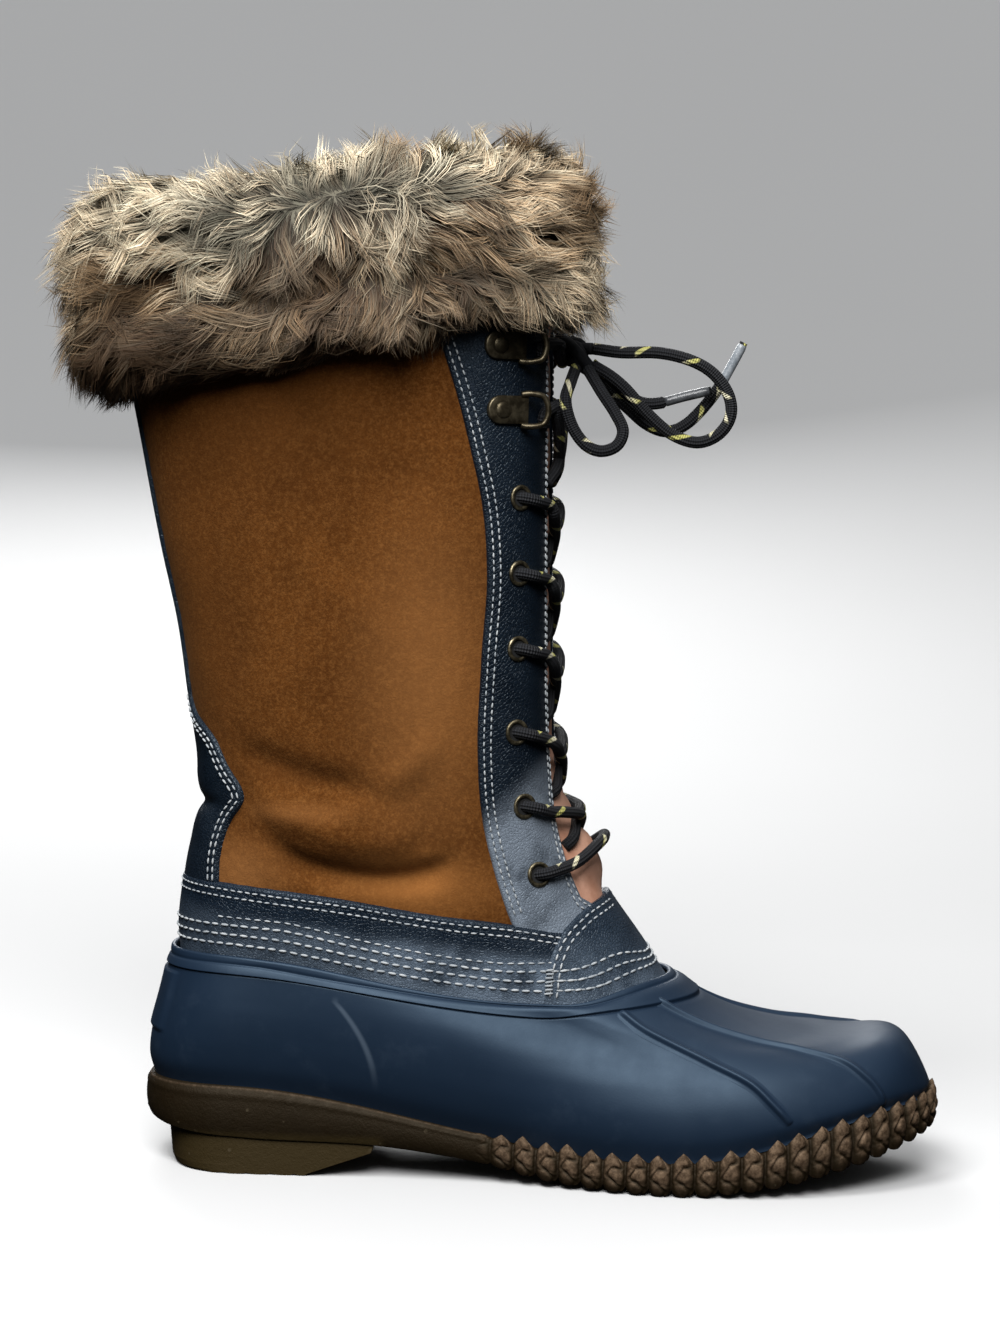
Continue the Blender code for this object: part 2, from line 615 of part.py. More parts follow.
def make_tongue():
    """Leather tongue behind the throat, bulging forward at its foot."""
    heights = np.array([93, 99, 104, 109, 115, 122, 132, 150, 185, 225, 265, 300, 328])
    shares = np.linspace(-1.0, 1.0, 11)
    grid = np.zeros((len(shares), len(heights), 3))
    for j, height in enumerate(heights):
        reach = np.linspace(0.5, 1.0, 300)
        line = leather(reach, level_at(reach, height))
        half = eased(height, (95, 130), (25.0, 28.0))
        edge = 1.0 - np.interp(half, -line[::-1, 1], reach[::-1])
        u = 1.0 + shares * edge
        v = level_at(u, height)
        point = leather(u, v)
        bulge = eased(height, (94, 112, 124, 150), (0.0, 7.4, 4.4, 1.6))
        middle = np.clip(1.0 - np.abs(point[:, 1]) / 15.0, 0.0, 1.0) ** 0.7
        inward = SUEDE_WALL + 3 * GAP
        grid[:, j] = point + (bulge * middle - inward)[:, None] * outward(leather, u, v)
    return solid_band("tongue", grid, False, 1.8, -1.0, TAN_LEATHER)


# Fur cuff.
HEM_RISE = (-11.0, 17.0)  # the hem's tilt: added to its height at the back and at the front
TOP_RISE = (-8.0, 9.0)
FUR_PROFILE = (  # out from the suede, height, share of the top's tilt
    (2.1, 290, 0), (7, 284, 0), (14.0, 287, 0.1), (17.5, 299, 0.3), (16.5, 309, 0.5), (14.0, 316, 0.6),
    (17.5, 327, 0.8), (18.0, 340, 0.9), (14.0, 351, 1), (6, 358, 1), (-2, 357.5, 1), (-6.5, 348, 1),
    (-5.5, 340.5, 0.2), (2.1, 340.0, 0.1),
)
LOCK_ROWS = (2, 10)  # profile steps that carry locks
LOCK_OUT = 7.5
LOCK_DROP = 5.0


def make_fur_cuff():
    """A deep C-shaped roll round the collar, open at the front, with a lock on each of its outer faces."""
    step = 2.0 / SHAFT_STEPS
    u = 1.0 + step * np.arange(1, SHAFT_STEPS)
    around = np.abs(np.mod(u, 2.0) - 1.0)  # 0 at the front, 1 at the back
    hem = eased(around, (0.0, 1.0), HEM_RISE[::-1])
    top = eased(around, (0.0, 1.0), TOP_RISE[::-1])
    bm = bmesh.new()
    outline = []
    for out, height, share in FUR_PROFILE:
        z = height + (1.0 - share) * hem + share * top
        if height >= 340 and share < 1:
            z = np.full(u.shape, COLLAR_HEIGHT + 0.6)
        v = level_at(u, np.minimum(z, COLLAR_HEIGHT - 0.3))
        flat = outward(leather, u, v) * np.array([1.0, 1.0, 0.0])
        flat /= np.linalg.norm(flat, axis=1, keepdims=True)
        spots = leather(u, v) + flat * out
        spots[:, 2] = z
        outline.append(spots)
    columns = [[bm.verts.new(place(spots[k])) for spots in outline] for k in range(len(u))]
    size = len(FUR_PROFILE)
    tufts = []
    for here, following in zip(columns, columns[1:]):
        for j in range(size):
            k = (j + 1) % size
            face = bm.faces.new((here[j], following[j], following[k], here[k]))
            if LOCK_ROWS[0] <= j < LOCK_ROWS[1]:
                tufts.append(face)
    bm.faces.new(columns[0])
    bm.faces.new(columns[-1][::-1])
    bmesh.ops.recalc_face_normals(bm, faces=bm.faces)
    rng = np.random.default_rng(7)
    for face in tufts:
        normal = face.normal.copy()
        tip = face.calc_center_median()
        poked = bmesh.ops.poke(bm, faces=[face])["verts"][0]
        length = LOCK_OUT * rng.uniform(0.55, 1.0)
        drop = LOCK_DROP * rng.uniform(0.2, 1.0)
        poked.co = tip + (normal * length + Vector((0.0, 0.0, -drop))) * MM
    return add_object("fur_cuff", bm, FUR)


# Hardware.
def basis(spot, forward, out, up):
    """Matrix whose X, Y and Z axes are forward, up and outward at a spot."""
    frame = Matrix((forward, up, out)).transposed().to_4x4()
    return Matrix.Translation(place(spot)) @ frame


def make_eyelet(name, x, height, side):
    spot, forward, out, up = spot_on_leather(x, height, side, TRIM_OUT + GAP + 0.75 * EYELET_WIRE)
    bm = bmesh.new()
    around, across = 9, 4
    rings = []
    for i in range(around):
        a = 2 * math.pi * i / around
        ring = []
        for j in range(across):
            b = 2 * math.pi * (j + 0.5) / across
            reach = EYELET_RADIUS + EYELET_WIRE * math.cos(b)
            rise = 0.75 * EYELET_WIRE * math.sin(b)
            ring.append(bm.verts.new(Vector((reach * math.cos(a), reach * math.sin(a), rise)) * MM))
        rings.append(ring)
    for i in range(around):
        for j in range(across):
            here, following = rings[i], rings[(i + 1) % around]
            k = (j + 1) % across
            bm.faces.new((here[j], following[j], following[k], here[k]))
    bmesh.ops.transform(bm, matrix=basis(spot, forward, out, up), verts=bm.verts)
    bmesh.ops.recalc_face_normals(bm, faces=bm.faces)
    return add_object(name, bm, BRASS)


HOOK_LOOP = (  # forward, up, out from the plate's middle
    (5.5, -5.0, 1.4), (9.5, -5.8, 2.0), (13.0, -4.8, 2.6), (14.6, 0.0, 3.0), (13.0, 4.8, 2.6), (9.5, 5.8, 2.0),
    (5.5, 5.0, 1.4),
)


def make_hook(name, x, height, side):
    """Speed hook: a riveted plate with a D loop ahead of it."""
    spot, forward, out, up = spot_on_leather(x, height, side, TRIM_OUT + GAP + 0.6)
    matrix = basis(spot, forward, out, up)
    bm = bmesh.new()
    outline = [(8.0, -4.8), (8.0, 4.8), (-2.5, 4.8)]
    for k in range(1, 6):
        angle = math.pi / 2 + math.pi * k / 6
        outline.append((-2.5 + 4.8 * math.cos(angle), 4.8 * math.sin(angle)))
    outline.append((-2.5, -4.8))
    face = bm.faces.new([bm.verts.new(Vector((a, b, -0.6)) * MM) for a, b in outline])
    drawn = bmesh.ops.extrude_face_region(bm, geom=[face])
    moved = [item for item in drawn["geom"] if isinstance(item, bmesh.types.BMVert)]
    bmesh.ops.translate(bm, verts=moved, vec=Vector((0.0, 0.0, 1.6 * MM)))
    bmesh.ops.transform(bm, matrix=matrix, verts=bm.verts)
    bmesh.ops.recalc_face_normals(bm, faces=bm.faces)
    hook = add_object(name, bm, BRASS)
    loop = []
    for a, b, c in HOOK_LOOP:
        loop.append(spot + forward * a + up * b + out * c)
    cut(hook, tube(name + "_loop", loop, 10, 1.1), "UNION")
    rivet = bmesh.new()
    bmesh.ops.create_cone(rivet, cap_ends=True, segments=8, radius1=2.6 * MM, radius2=1.6 * MM, depth=2.4 * MM)
    shift = Matrix.Translation(Vector((-1.5, 0.0, 1.4)) * MM)
    bmesh.ops.transform(rivet, matrix=matrix @ shift, verts=rivet.verts)
    cut(hook, add_object(name + "_rivet", rivet), "UNION")
    return hook


# Laces.
LACE_LIFT = TRIM_OUT + GAP + CORD / 2 + 0.4
CROSS_DROPS = (26.0, 26.0, 28.0, 25.0, 16.0)  # how far a crossing's legs come down
HOOK_DROP = 27.0


def front_spot(height, y, lift):
    """A spot ahead of the throat at a height and a sideways distance."""
    u = np.linspace(0.6, 1.4, 801)
    v = level_at(u, height)
    line = leather(u, v)
    k = int(np.argmin(np.abs(line[:, 1] - y)))
    return Vector(line[k]) + Vector(outward(leather, u[k], v[k])) * lift


def lace_start(x, height, side, lift=LACE_LIFT):
    """Where a lace comes up in front of an eyelet or hook."""
    return spot_on_leather(x, height, side, lift)[0]


def tongue_bulge(height):
    return float(eased(height, (94, 112, 124, 150), (0.0, 5.4, 3.0, 0.0)))


def cross_route(x, height, side, drop, lift=LACE_LIFT):
    """One leg of a crossing: over the eyestay's edge and down across the throat."""
    middle = height - 0.55 * drop
    end = height - 0.82 * drop
    return (
        lace_start(x, height, side, lift),
        front_spot(height - 0.16 * drop, side * 19.0, LACE_LIFT),
        front_spot(middle, 0.0, 3.0 + tongue_bulge(middle)),
        front_spot(end, -side * 11.0, 2.4 + 0.5 * tongue_bulge(end)),
    )


def make_crossing(name, x, height, drop, lift=LACE_LIFT):
    first = tube(name, cross_route(x, height, -1, drop, lift), 9, CORD / 2, LACE)
    second = tube(name + "_leg", cross_route(x, height, 1, drop, lift), 9, CORD / 2)
    cut(first, second, "UNION")


def make_crossings():
    ahead = EYELET_RADIUS + EYELET_WIRE + CORD / 2 + 0.6
    for k, drop in enumerate(CROSS_DROPS):
        x, height = EYELETS[k]
        make_crossing(f"lace_cross_{k + 1}", x + ahead, height, drop)
    x, height = HOOKS[1]
    make_crossing("lace_cross_hooks", x + 18.0, height - 2.0, HOOK_DROP)
    x, height = EYELETS[-1]
    right, left = lace_start(x + ahead, height, -1), lace_start(x + ahead, height, 1)
    middle = front_spot(height + 3.0, 0.0, 9.2)
    tube("lace_bar", (right, front_spot(height + 1.5, -18.0, LACE_LIFT + 1.0), middle,
                      front_spot(height + 1.5, 18.0, LACE_LIFT + 1.0), left), 11, CORD / 2, LACE)
    x, height = HOOKS[0]
    right, left = lace_start(x + 16.5, height, -1), lace_start(x + 16.5, height, 1)
    middle = front_spot(height - 10.0, 0.0, 3.2)
    tube("lace_top", (right, front_spot(height - 4.0, -19.0, LACE_LIFT), middle,
                      front_spot(height - 4.0, 19.0, LACE_LIFT), left), 11, CORD / 2, LACE)


# Bow: routes from the knot, each point x, y, z.
KNOT = Vector((148.2, -5.0, 290.0))
KNOT_SIZE = Vector((8.1, 8.0, 6.0))
LOOP_BIG = (
    (156.2, -8.6, 291.2), (166, -9.5, 290.0), (179, -10.0, 290.0), (190, -10.0, 287.6), (198, -9.5, 283.2),
    (203.5, -9.0, 276.0), (204.5, -9.0, 268.5), (200.5, -9.0, 262.0), (193, -9.0, 259.0), (184, -9.0, 261.8),
    (175.5, -9.0, 268.8), (168, -9.0, 277.0), (162.5, -9.0, 281.6), (156.4, -8.4, 285.2),
)
LOOP_SMALL = (
    (150.2, -11.6, 284.3), (148.8, -19.0, 279.0), (147.4, -23.5, 272.5), (149.8, -24.0, 264.0),
    (154.5, -24.0, 257.6), (160.0, -24.0, 255.4), (165.4, -23.5, 257.4), (167.4, -22.5, 262.6),
    (164.6, -21.0, 268.6), (160.2, -18.5, 275.0), (157.2, -15.5, 279.6), (154.4, -11.9, 284.0),
)
END_1 = (
    (155.3, -3.7, 286.2), (162.0, -3.2, 281.0), (168.0, -3.0, 275.6), (173.0, -3.0, 272.8), (179.0, -3.0, 272.6),
    (188.0, -3.0, 275.0), (197.6, -3.0, 277.4),
)
END_2 = (
    (152.7, -0.2, 285.1), (158.6, 3.0, 279.4), (168.0, 3.0, 271.0), (175.0, 3.0, 265.2), (182.0, 3.0, 262.8),
    (188.5, 3.0, 265.2), (194.7, 3.0, 271.2), (200.6, 3.0, 279.2), (204.8, 3.0, 286.8), (208.7, 3.0, 294.4),
)


def make_bow():
    knot = bmesh.new()
    bmesh.ops.create_uvsphere(knot, u_segments=10, v_segments=7, radius=1.0)
    shape = Matrix.LocRotScale(place(KNOT), None, KNOT_SIZE * MM)
    bmesh.ops.transform(knot, matrix=shape, verts=knot.verts)
    add_object("lace_knot", knot, LACE)
    tube("lace_loop_big", LOOP_BIG, 27, CORD / 2, LACE)
    tube("lace_loop_small", LOOP_SMALL, 21, CORD / 2, LACE)
    tube("lace_end_1", END_1, 10, CORD / 2, LACE)
    tube("lace_end_2", END_2, 15, CORD / 2, LACE)


def build():
    make_outsole()
    make_insole()
    make_rubber_shell()
    throat = throat_cutter()
    make_upper(throat)
    make_ankle_band()
    make_throat_piece()
    make_eyestay("eyestay_right", -1, throat)
    make_eyestay("eyestay_left", 1, throat)
    make_back_stay()
    make_tongue()
    make_fur_cuff()
    for side, word in ((-1, "right"), (1, "left")):
        for k, (x, height) in enumerate(EYELETS):
            make_eyelet(f"eyelet_{word}_{k + 1}", x, height, side)
        for k, (x, height) in enumerate(HOOKS):
            make_hook(f"hook_{word}_{k + 1}", x, height, side)
    make_crossings()
    make_bow()


build()
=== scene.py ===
"""Looks of the right duck boot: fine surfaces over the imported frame, stitches, fur, laces, camera and light.

Sizes are in millimetres from the back of the heel, as in the CAD source, and become metres in place().
u walks round the boot: 0 at the back, 1 at the front by way of the outer side, 2 at the back again.
"""

import math
from collections import namedtuple

import bpy
import numpy as np
from mathutils import Matrix, Quaternion, Vector
from mathutils.kdtree import KDTree


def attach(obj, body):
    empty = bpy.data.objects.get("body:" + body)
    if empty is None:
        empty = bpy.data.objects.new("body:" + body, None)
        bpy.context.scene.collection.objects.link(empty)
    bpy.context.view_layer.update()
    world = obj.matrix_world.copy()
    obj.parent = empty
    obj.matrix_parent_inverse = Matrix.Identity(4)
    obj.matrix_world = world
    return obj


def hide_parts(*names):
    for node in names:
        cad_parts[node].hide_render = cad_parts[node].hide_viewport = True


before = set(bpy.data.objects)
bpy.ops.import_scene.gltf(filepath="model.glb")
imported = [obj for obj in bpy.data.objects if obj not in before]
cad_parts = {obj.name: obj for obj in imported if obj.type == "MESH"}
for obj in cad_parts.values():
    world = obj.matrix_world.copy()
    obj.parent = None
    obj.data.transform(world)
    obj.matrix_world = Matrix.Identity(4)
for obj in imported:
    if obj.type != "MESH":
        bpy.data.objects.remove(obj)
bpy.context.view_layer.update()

MM = 0.001
HEEL_CENTRE = 40.0
SOLE_LENGTH = 282.0
RUBBER_WALL = 2.5
SUEDE_WALL = 2.0
GAP = 0.3
TRIM_OUT = 1.7
COLLAR_HEIGHT = 338.0
CORD = 4.2
SIDES = ((-1, "right"), (1, "left"))  # the outer and the inner side, by the sign of y
STAY_RISE = 1.5  # how far each leather's face stands off the suede
BAND_RISE = 1.9
THROAT_RISE = 2.4
TACK_RISE = 2.7  # the short rows across the throat piece
TONGUE_WALL = 1.8

Ring = namedtuple(
    "Ring", "back front back_z side_z front_z low_at heel waist ball swing heel_cap toe_cap toe_round"
)
SOLE_EDGE = Ring(0.0, SOLE_LENGTH, 31, 11.8, 29.5, 0.64, 33.5, 31.5, 49.0, 1.0, 34, 66, 0.90)
SHELL_RINGS = (
    Ring(2.5, 279.5, 31.3, 12.1, 29.8, 0.64, 31.0, 29.5, 46.5, 1.00, 34, 64, 0.90),
    Ring(0.8, 279.6, 38.0, 20.0, 33.4, 0.64, 34.0, 33.5, 48.8, 1.00, 34, 65, 0.90),
    Ring(1.2, 274.6, 45.0, 28.5, 40.0, 0.65, 35.8, 36.0, 48.6, 1.00, 34, 64, 0.90),
    Ring(2.6, 267.0, 51.5, 37.0, 46.6, 0.67, 36.8, 37.5, 46.2, 0.95, 34, 62, 0.90),
    Ring(4.2, 253.0, 57.5, 44.5, 49.4, 0.69, 37.2, 38.2, 42.8, 0.85, 34, 58, 0.90),
    Ring(5.6, 235.5, 63.0, 51.0, 51.0, 0.71, 37.0, 38.4, 40.0, 0.70, 34, 54, 0.90),
    Ring(6.8, 216.5, 68.5, 56.5, 55.2, 0.73, 36.6, 38.2, 38.4, 0.50, 35, 50, 0.90),
    Ring(7.6, 200.5, 73.0, 60.5, 61.8, 0.75, 36.2, 37.8, 37.6, 0.35, 36, 46, 0.90),
    Ring(8.2, 187.5, 77.0, 63.8, 71.0, 0.77, 35.8, 37.4, 37.0, 0.20, 38, 44, 0.90),
)
LEATHER_RINGS = (
    Ring(12.4, 175.0, 86, 76, 81, 0.80, 32.6, 34.4, 33.4, 0.1, 40, 44, 0.86),
    Ring(13.4, 163.5, 97, 91, 97, 0.80, 33.8, 35.2, 33.6, 0.0, 41, 44, 0.84),
    Ring(15.2, 155.0, 110, 108, 111, 0.80, 35.4, 36.4, 34.4, 0.0, 42, 42, 0.78),
    Ring(19.5, 147.6, 127, 127, 127, 0.50, 36.8, 37.4, 35.4, 0.0, 44, 38, 0.68),
    Ring(18.2, 144.0, 146, 146, 146, 0.50, 38.2, 38.8, 37.0, 0.0, 47, 36, 0.60),
    Ring(14.6, 142.0, 168, 168, 168, 0.50, 39.6, 40.4, 38.6, 0.0, 50, 35, 0.56),
    Ring(10.8, 141.2, 193, 193, 193, 0.50, 41.0, 41.8, 40.0, 0.0, 52, 34, 0.55),
    Ring(4.2, 140.6, 222, 222, 222, 0.50, 42.2, 43.0, 41.2, 0.0, 54, 34, 0.55),
    Ring(-2.2, 140.2, 254, 254, 254, 0.50, 43.2, 44.0, 42.2, 0.0, 56, 34, 0.55),
    Ring(-8.4, 139.8, 287, 287, 287, 0.50, 44.2, 45.0, 43.0, 0.0, 57, 34, 0.55),
    Ring(-14.5, 139.5, 338, 338, 338, 0.50, 45.2, 46.0, 44.0, 0.0, 58, 34, 0.55),
)
HEEL_ROUND = 0.85
WIDTH_AT = (0.12, 0.42, 0.70)
SWING_AT = (0.15, 0.45, 0.72, 1.0)
SWING_BY = (0.0, -4.0, 1.5, 8.0)
SHELL_TURNS = (0.20, 0.70)
LEATHER_TURNS = (0.34, 0.70)
TUCKED_AT = (6.5, 7.4, 8.0)
LEATHER_TOP = len(LEATHER_RINGS) + len(TUCKED_AT) - 1.0

BAND_TOP = ((-25, 104), (12, 103.5), (28, 103), (68, 99.5), (108, 93.5), (132, 91), (147, 88))
THROAT_EDGE = ((56, 143.3), (67, 143.6), (81, 145.6), (88, 149), (92, 152.5), (96, 157.5), (100.5, 168))
EYESTAY_BACK = (
    (84, 135.5), (90, 132.6), (101, 128.4), (112, 125), (129, 121.2), (149, 119.6), (182, 120.4), (214, 122),
    (237, 120), (255, 116), (274, 111), (292, 105), (318, 94), (345, 86),
)
COUNTER_EDGE = ((99, 29), (113, 29.5), (124, 33), (132, 38), (145, 31), (155, 25), (160, 19.5), (166, 15.8))
STAY_DEPTH = 0.85
THROAT = ((84, 12.0), (94, 15.0), (99, 20.0), (112, 19.5), (130, 17.5), (160, 16.5), (345, 16.5))
EYELETS = ((132, 239), (132, 213), (132, 187), (132, 158), (135, 132), (140.5, 108))
HOOKS = ((126, 291), (127, 269))

BAND_UNDER = ((0, 17.5), (10, 15.5), (40, 13.0), (90, 11.5), (118, 8.0), (145, 2.6), (172, 0.7), (200, 0.7),
              (222, 3.2), (245, 8.2), (265, 13.6), (282, 19.0))
LINK_START = 118.0
LINK_PITCH = 8.0
LUG_GROOVES = (142, 154, 166, 178, 190, 202, 214, 226, 238)
RIBS = (
    ((170, -33), (182, -36.6), (200, -39.7), (217, -43), (230, -44)),
    ((182, -23.5), (197, -24.2), (218, -25.2), (235, -26.7), (252, -28.3), (262, -27)),
    ((183, 20), (197, 24), (218, 30), (235, 34), (252, 37), (262, 36)),
    ((174, 30), (190, 37), (207, 44), (221, 49), (233, 51)),
)
rng = np.random.default_rng(11)


# The boot's surfaces, as in the CAD source.
def eased(value, stops, levels):
    """Smooth steps from level to level between the stops."""
    value = np.asarray(value, float)
    total = np.full(value.shape, float(levels[0]))
    for k in range(len(stops) - 1):
        share = np.clip((value - stops[k]) / (stops[k + 1] - stops[k]), 0.0, 1.0)
        total = total + (levels[k + 1] - levels[k]) * share * share * (3.0 - 2.0 * share)
    return total


def soft(value, low, high):
    """0 below low, 1 above high, smooth between."""
    share = np.clip((np.asarray(value, float) - low) / (high - low), 0.0, 1.0)
    return share * share * (3.0 - 2.0 * share)


def ring_level(ring, share):
    """A ring's height at a share of its length: the back's, the side's round low_at, the front's."""
    return eased(
        share,
        (0.1, ring.low_at - 0.03, ring.low_at + 0.03, 1.0),
        (ring.back_z, ring.side_z, ring.side_z, ring.front_z),
    )


def ring_point(ring, u, turns):
    """Points round one ring: heel arc, straight side and toe arc, with the last's width at each length."""
    u = np.mod(np.asarray(u, float), 2.0)
    side = np.where(u <= 1.0, -1.0, 1.0)
    part = np.where(u <= 1.0, u, 2.0 - u)
    length = ring.front - ring.back
    heel_angle = 0.5 * math.pi * np.clip(part / turns[0], 0.0, 1.0)
    toe_angle = 0.5 * math.pi * np.clip((1.0 - part) / (1.0 - turns[1]), 0.0, 1.0)
    straight = np.clip((part - turns[0]) / (turns[1] - turns[0]), 0.0, 1.0)
    middle = length - ring.heel_cap - ring.toe_cap
    along = ring.heel_cap * (1.0 - np.cos(heel_angle)) + straight * middle + ring.toe_cap * np.cos(toe_angle)
    fullness = np.sin(heel_angle) ** HEEL_ROUND * np.sin(toe_angle) ** ring.toe_round
    share = along / length
    half = eased(share, WIDTH_AT, (ring.heel, ring.waist, ring.ball))
    centre = ring.swing * eased(share, SWING_AT, SWING_BY)
    height = ring_level(ring, share)
    return np.stack([ring.back + along, centre + side * half * fullness, height], axis=-1)


def spline_weight(distance):
    """Weight of a point in a Catmull-Rom spline, by how many steps away it is."""
    d = np.abs(distance)
    near = 1.5 * d**3 - 2.5 * d**2 + 1.0
    far = -0.5 * d**3 + 2.5 * d**2 - 4.0 * d + 2.0
    return np.where(d < 1.0, near, np.where(d < 2.0, far, 0.0))


def surface_through(curves):
    """A smooth surface of u and v through closed curves, one for each whole v."""
    stops = np.linspace(0.0, 2.0, 1601)
    lines = [curve(stops) for curve in curves]
    lines = [2.0 * lines[0] - lines[1], *lines, 2.0 * lines[-1] - lines[-2]]

    def surface(u, v):
        u, v = np.broadcast_arrays(np.mod(np.asarray(u, float), 2.0), np.asarray(v, float))
        total = np.zeros(u.shape + (3,))
        for k, line in enumerate(lines):
            weight = spline_weight(v - (k - 1))
            if np.any(weight):
                spot = np.stack([np.interp(u, stops, line[:, axis]) for axis in range(3)], axis=-1)
                total = total + weight[..., None] * spot
        return total

    return surface


def unit(vectors):
    return vectors / np.linalg.norm(vectors, axis=-1, keepdims=True)


def bell(away, width):
    """1 at 0, falling off smoothly over the width."""
    return np.exp(-((away / width) ** 2))


def run_along(line):
    """The length of a line of points up to each of them."""
    return np.concatenate([[0.0], np.cumsum(np.linalg.norm(np.diff(line, axis=0), axis=1))])


def outward(surface, u, v):
    """Unit normals of a surface, away from the foot."""
    along = surface(u + 0.006, v) - surface(u - 0.006, v)
    up = surface(u, v + 0.02) - surface(u, v - 0.02)
    return unit(np.cross(along, up))


def curves_of(rings, turns):
    return [lambda u, ring=ring: ring_point(ring, u, turns) for ring in rings]


def leather_surface():
    """The shaft's outer face, which goes on down inside the rubber."""
    depth = RUBBER_WALL + TRIM_OUT + 3 * GAP
    rubber = surface_through(curves_of(SHELL_RINGS, LEATHER_TURNS))
    tucked = [
        lambda u, v=v: rubber(u, v) - depth * outward(rubber, u, np.full(u.shape, v))
        for v in TUCKED_AT
    ]
    return surface_through([*tucked, *curves_of(LEATHER_RINGS, LEATHER_TURNS)])


plain_shell = surface_through(curves_of(SHELL_RINGS, SHELL_TURNS))
FULL_TOE = (4.6, 267.0, 12.5, 26.0, 42.0)  # most, its x and spread, and the heights it grows between
TOE_GROWS = np.array([0.35, 0.0, 0.94])


def shell(u, v):
    """The rubber's outer surface, with the full, round top of its toe."""
    points = plain_shell(u, v)
    most, middle, spread, low, high = FULL_TOE
    full = most * bell(points[..., 0] - middle, spread) * soft(points[..., 2], low, high)
    return points + full[..., None] * TOE_GROWS


leather = leather_surface()

# A table of v over height and u, so that the leather can be asked for by height.
Z_STEPS = np.linspace(54.0, COLLAR_HEIGHT, 214)
U_STEPS = np.linspace(0.0, 2.0, 481)


def level_table():
    """v at each table height and u, by halving."""
    u, height = np.broadcast_arrays(U_STEPS[None, :], Z_STEPS[:, None])
    low, high = np.zeros(u.shape), np.full(u.shape, LEATHER_TOP)
    for _ in range(16):
        middle = 0.5 * (low + high)
        below = leather(u, middle)[..., 2] < height
        low, high = np.where(below, middle, low), np.where(below, high, middle)
    return 0.5 * (low + high)


V_TABLE = level_table()


def level_at(u, height):
    """v where the leather has this height."""
    u, height = np.broadcast_arrays(np.asarray(u, float), np.asarray(height, float))
    row = np.clip((height - Z_STEPS[0]) / (Z_STEPS[1] - Z_STEPS[0]), 0.0, len(Z_STEPS) - 1.001)
    column = np.clip(np.mod(u, 2.0) / (U_STEPS[1] - U_STEPS[0]), 0.0, len(U_STEPS) - 1.001)
    i, j = row.astype(int), column.astype(int)
    s, t = row - i, column - j
    lower = V_TABLE[i, j] * (1 - t) + V_TABLE[i, j + 1] * t
    upper = V_TABLE[i + 1, j] * (1 - t) + V_TABLE[i + 1, j + 1] * t
    return lower * (1 - s) + upper * s


HALF_U = U_STEPS[:241]
TABLE_SPOTS = leather(HALF_U[None, :], V_TABLE[:, :241])
X_TABLE, Y_TABLE = TABLE_SPOTS[..., 0], -TABLE_SPOTS[..., 1]


def table_row(table, z):
    """A table's row at one height."""
    row = min(max((z - Z_STEPS[0]) / (Z_STEPS[1] - Z_STEPS[0]), 0.0), len(Z_STEPS) - 1.001)
    k = int(row)
    return table[k] * (1 - row + k) + table[k + 1] * (row - k)


def u_at_x(x, z):
    """u on the outer side where the leather has this x at this height."""
    x, z = np.broadcast_arrays(np.asarray(x, float), np.asarray(z, float))
    found = [np.interp(a, table_row(X_TABLE, height), HALF_U) for a, height in zip(x.ravel(), z.ravel())]
    return np.array(found).reshape(x.shape)


def u_at_width(half, z):
    """u near the front on the outer side where the leather is this far from its middle."""
    half, z = np.broadcast_arrays(np.asarray(half, float), np.asarray(z, float))
    front = HALF_U > 0.72
    found = [np.interp(a, table_row(Y_TABLE, height)[front][::-1], HALF_U[front][::-1])
             for a, height in zip(half.ravel(), z.ravel())]
    return np.array(found).reshape(half.shape)


def along(rows, value):
    """A smooth line through a table of pairs."""
    xs, ys = np.array(rows, float).T
    slopes = np.gradient(ys, xs)
    value = np.clip(np.asarray(value, float), xs[0], xs[-1])
    k = np.clip(np.searchsorted(xs, value, side="right") - 1, 0, len(xs) - 2)
    span = xs[k + 1] - xs[k]
    t = (value - xs[k]) / span
    rise = (2 * t**3 - 3 * t**2 + 1) * ys[k] + (3 * t**2 - 2 * t**3) * ys[k + 1]
    return rise + span * ((t**3 - 2 * t**2 + t) * slopes[k] + (t**3 - t**2) * slopes[k + 1])


# Creases on the outer side: the line each runs along (x, z), its push and its widths above and below.
Fold = namedtuple("Fold", "line push above below")
FOLDS = (
    Fold(((44, 119), (56, 112), (72, 107), (90, 105.5), (104, 108.5), (116, 114)), -4.2, 4.5, 6.0),
    Fold(((38, 131), (56, 127), (72, 121), (88, 119.5), (104, 123)), 3.2, 9.0, 6.5),
    Fold(((32, 149), (48, 145), (64, 140), (80, 136), (94, 135)), -2.6, 6.0, 5.0),
    Fold(((66, 127), (84, 136), (98, 146), (112, 158)), 1.6, 7.0, 7.0),
    Fold(((14, 205), (66, 205)), -0.9, 30.0, 30.0),
    Fold(((60, 218), (116, 223)), 0.9, 38.0, 38.0),
)
INNER_FOLDS = (
    Fold(((40, 118), (70, 120), (100, 123)), -2.2, 6.0, 6.0),
    Fold(((40, 144), (60, 142), (84, 139)), -1.1, 6.0, 6.0),
)
FOLD_END = 14.0  # a crease dies out over this length at both ends
HEEL_FOLDS = ((-1.8, 129.5, 2.6), (0.9, 121.0, 6.0), (0.7, 138.0, 5.0))  # push, height, spread


def fold_push(rows, x, z):
    """How far the creases of a table push a point at x, z."""
    push = 0.0
    for row in rows:
        away = z - along(row.line, x)
        width = np.where(away > 0, row.above, row.below)
        first, last = row.line[0][0], row.line[-1][0]
        ends = soft(x, first, first + FOLD_END) * soft(x, last, last - FOLD_END)
        push = push + row.push * ends * bell(away, width)
    return push


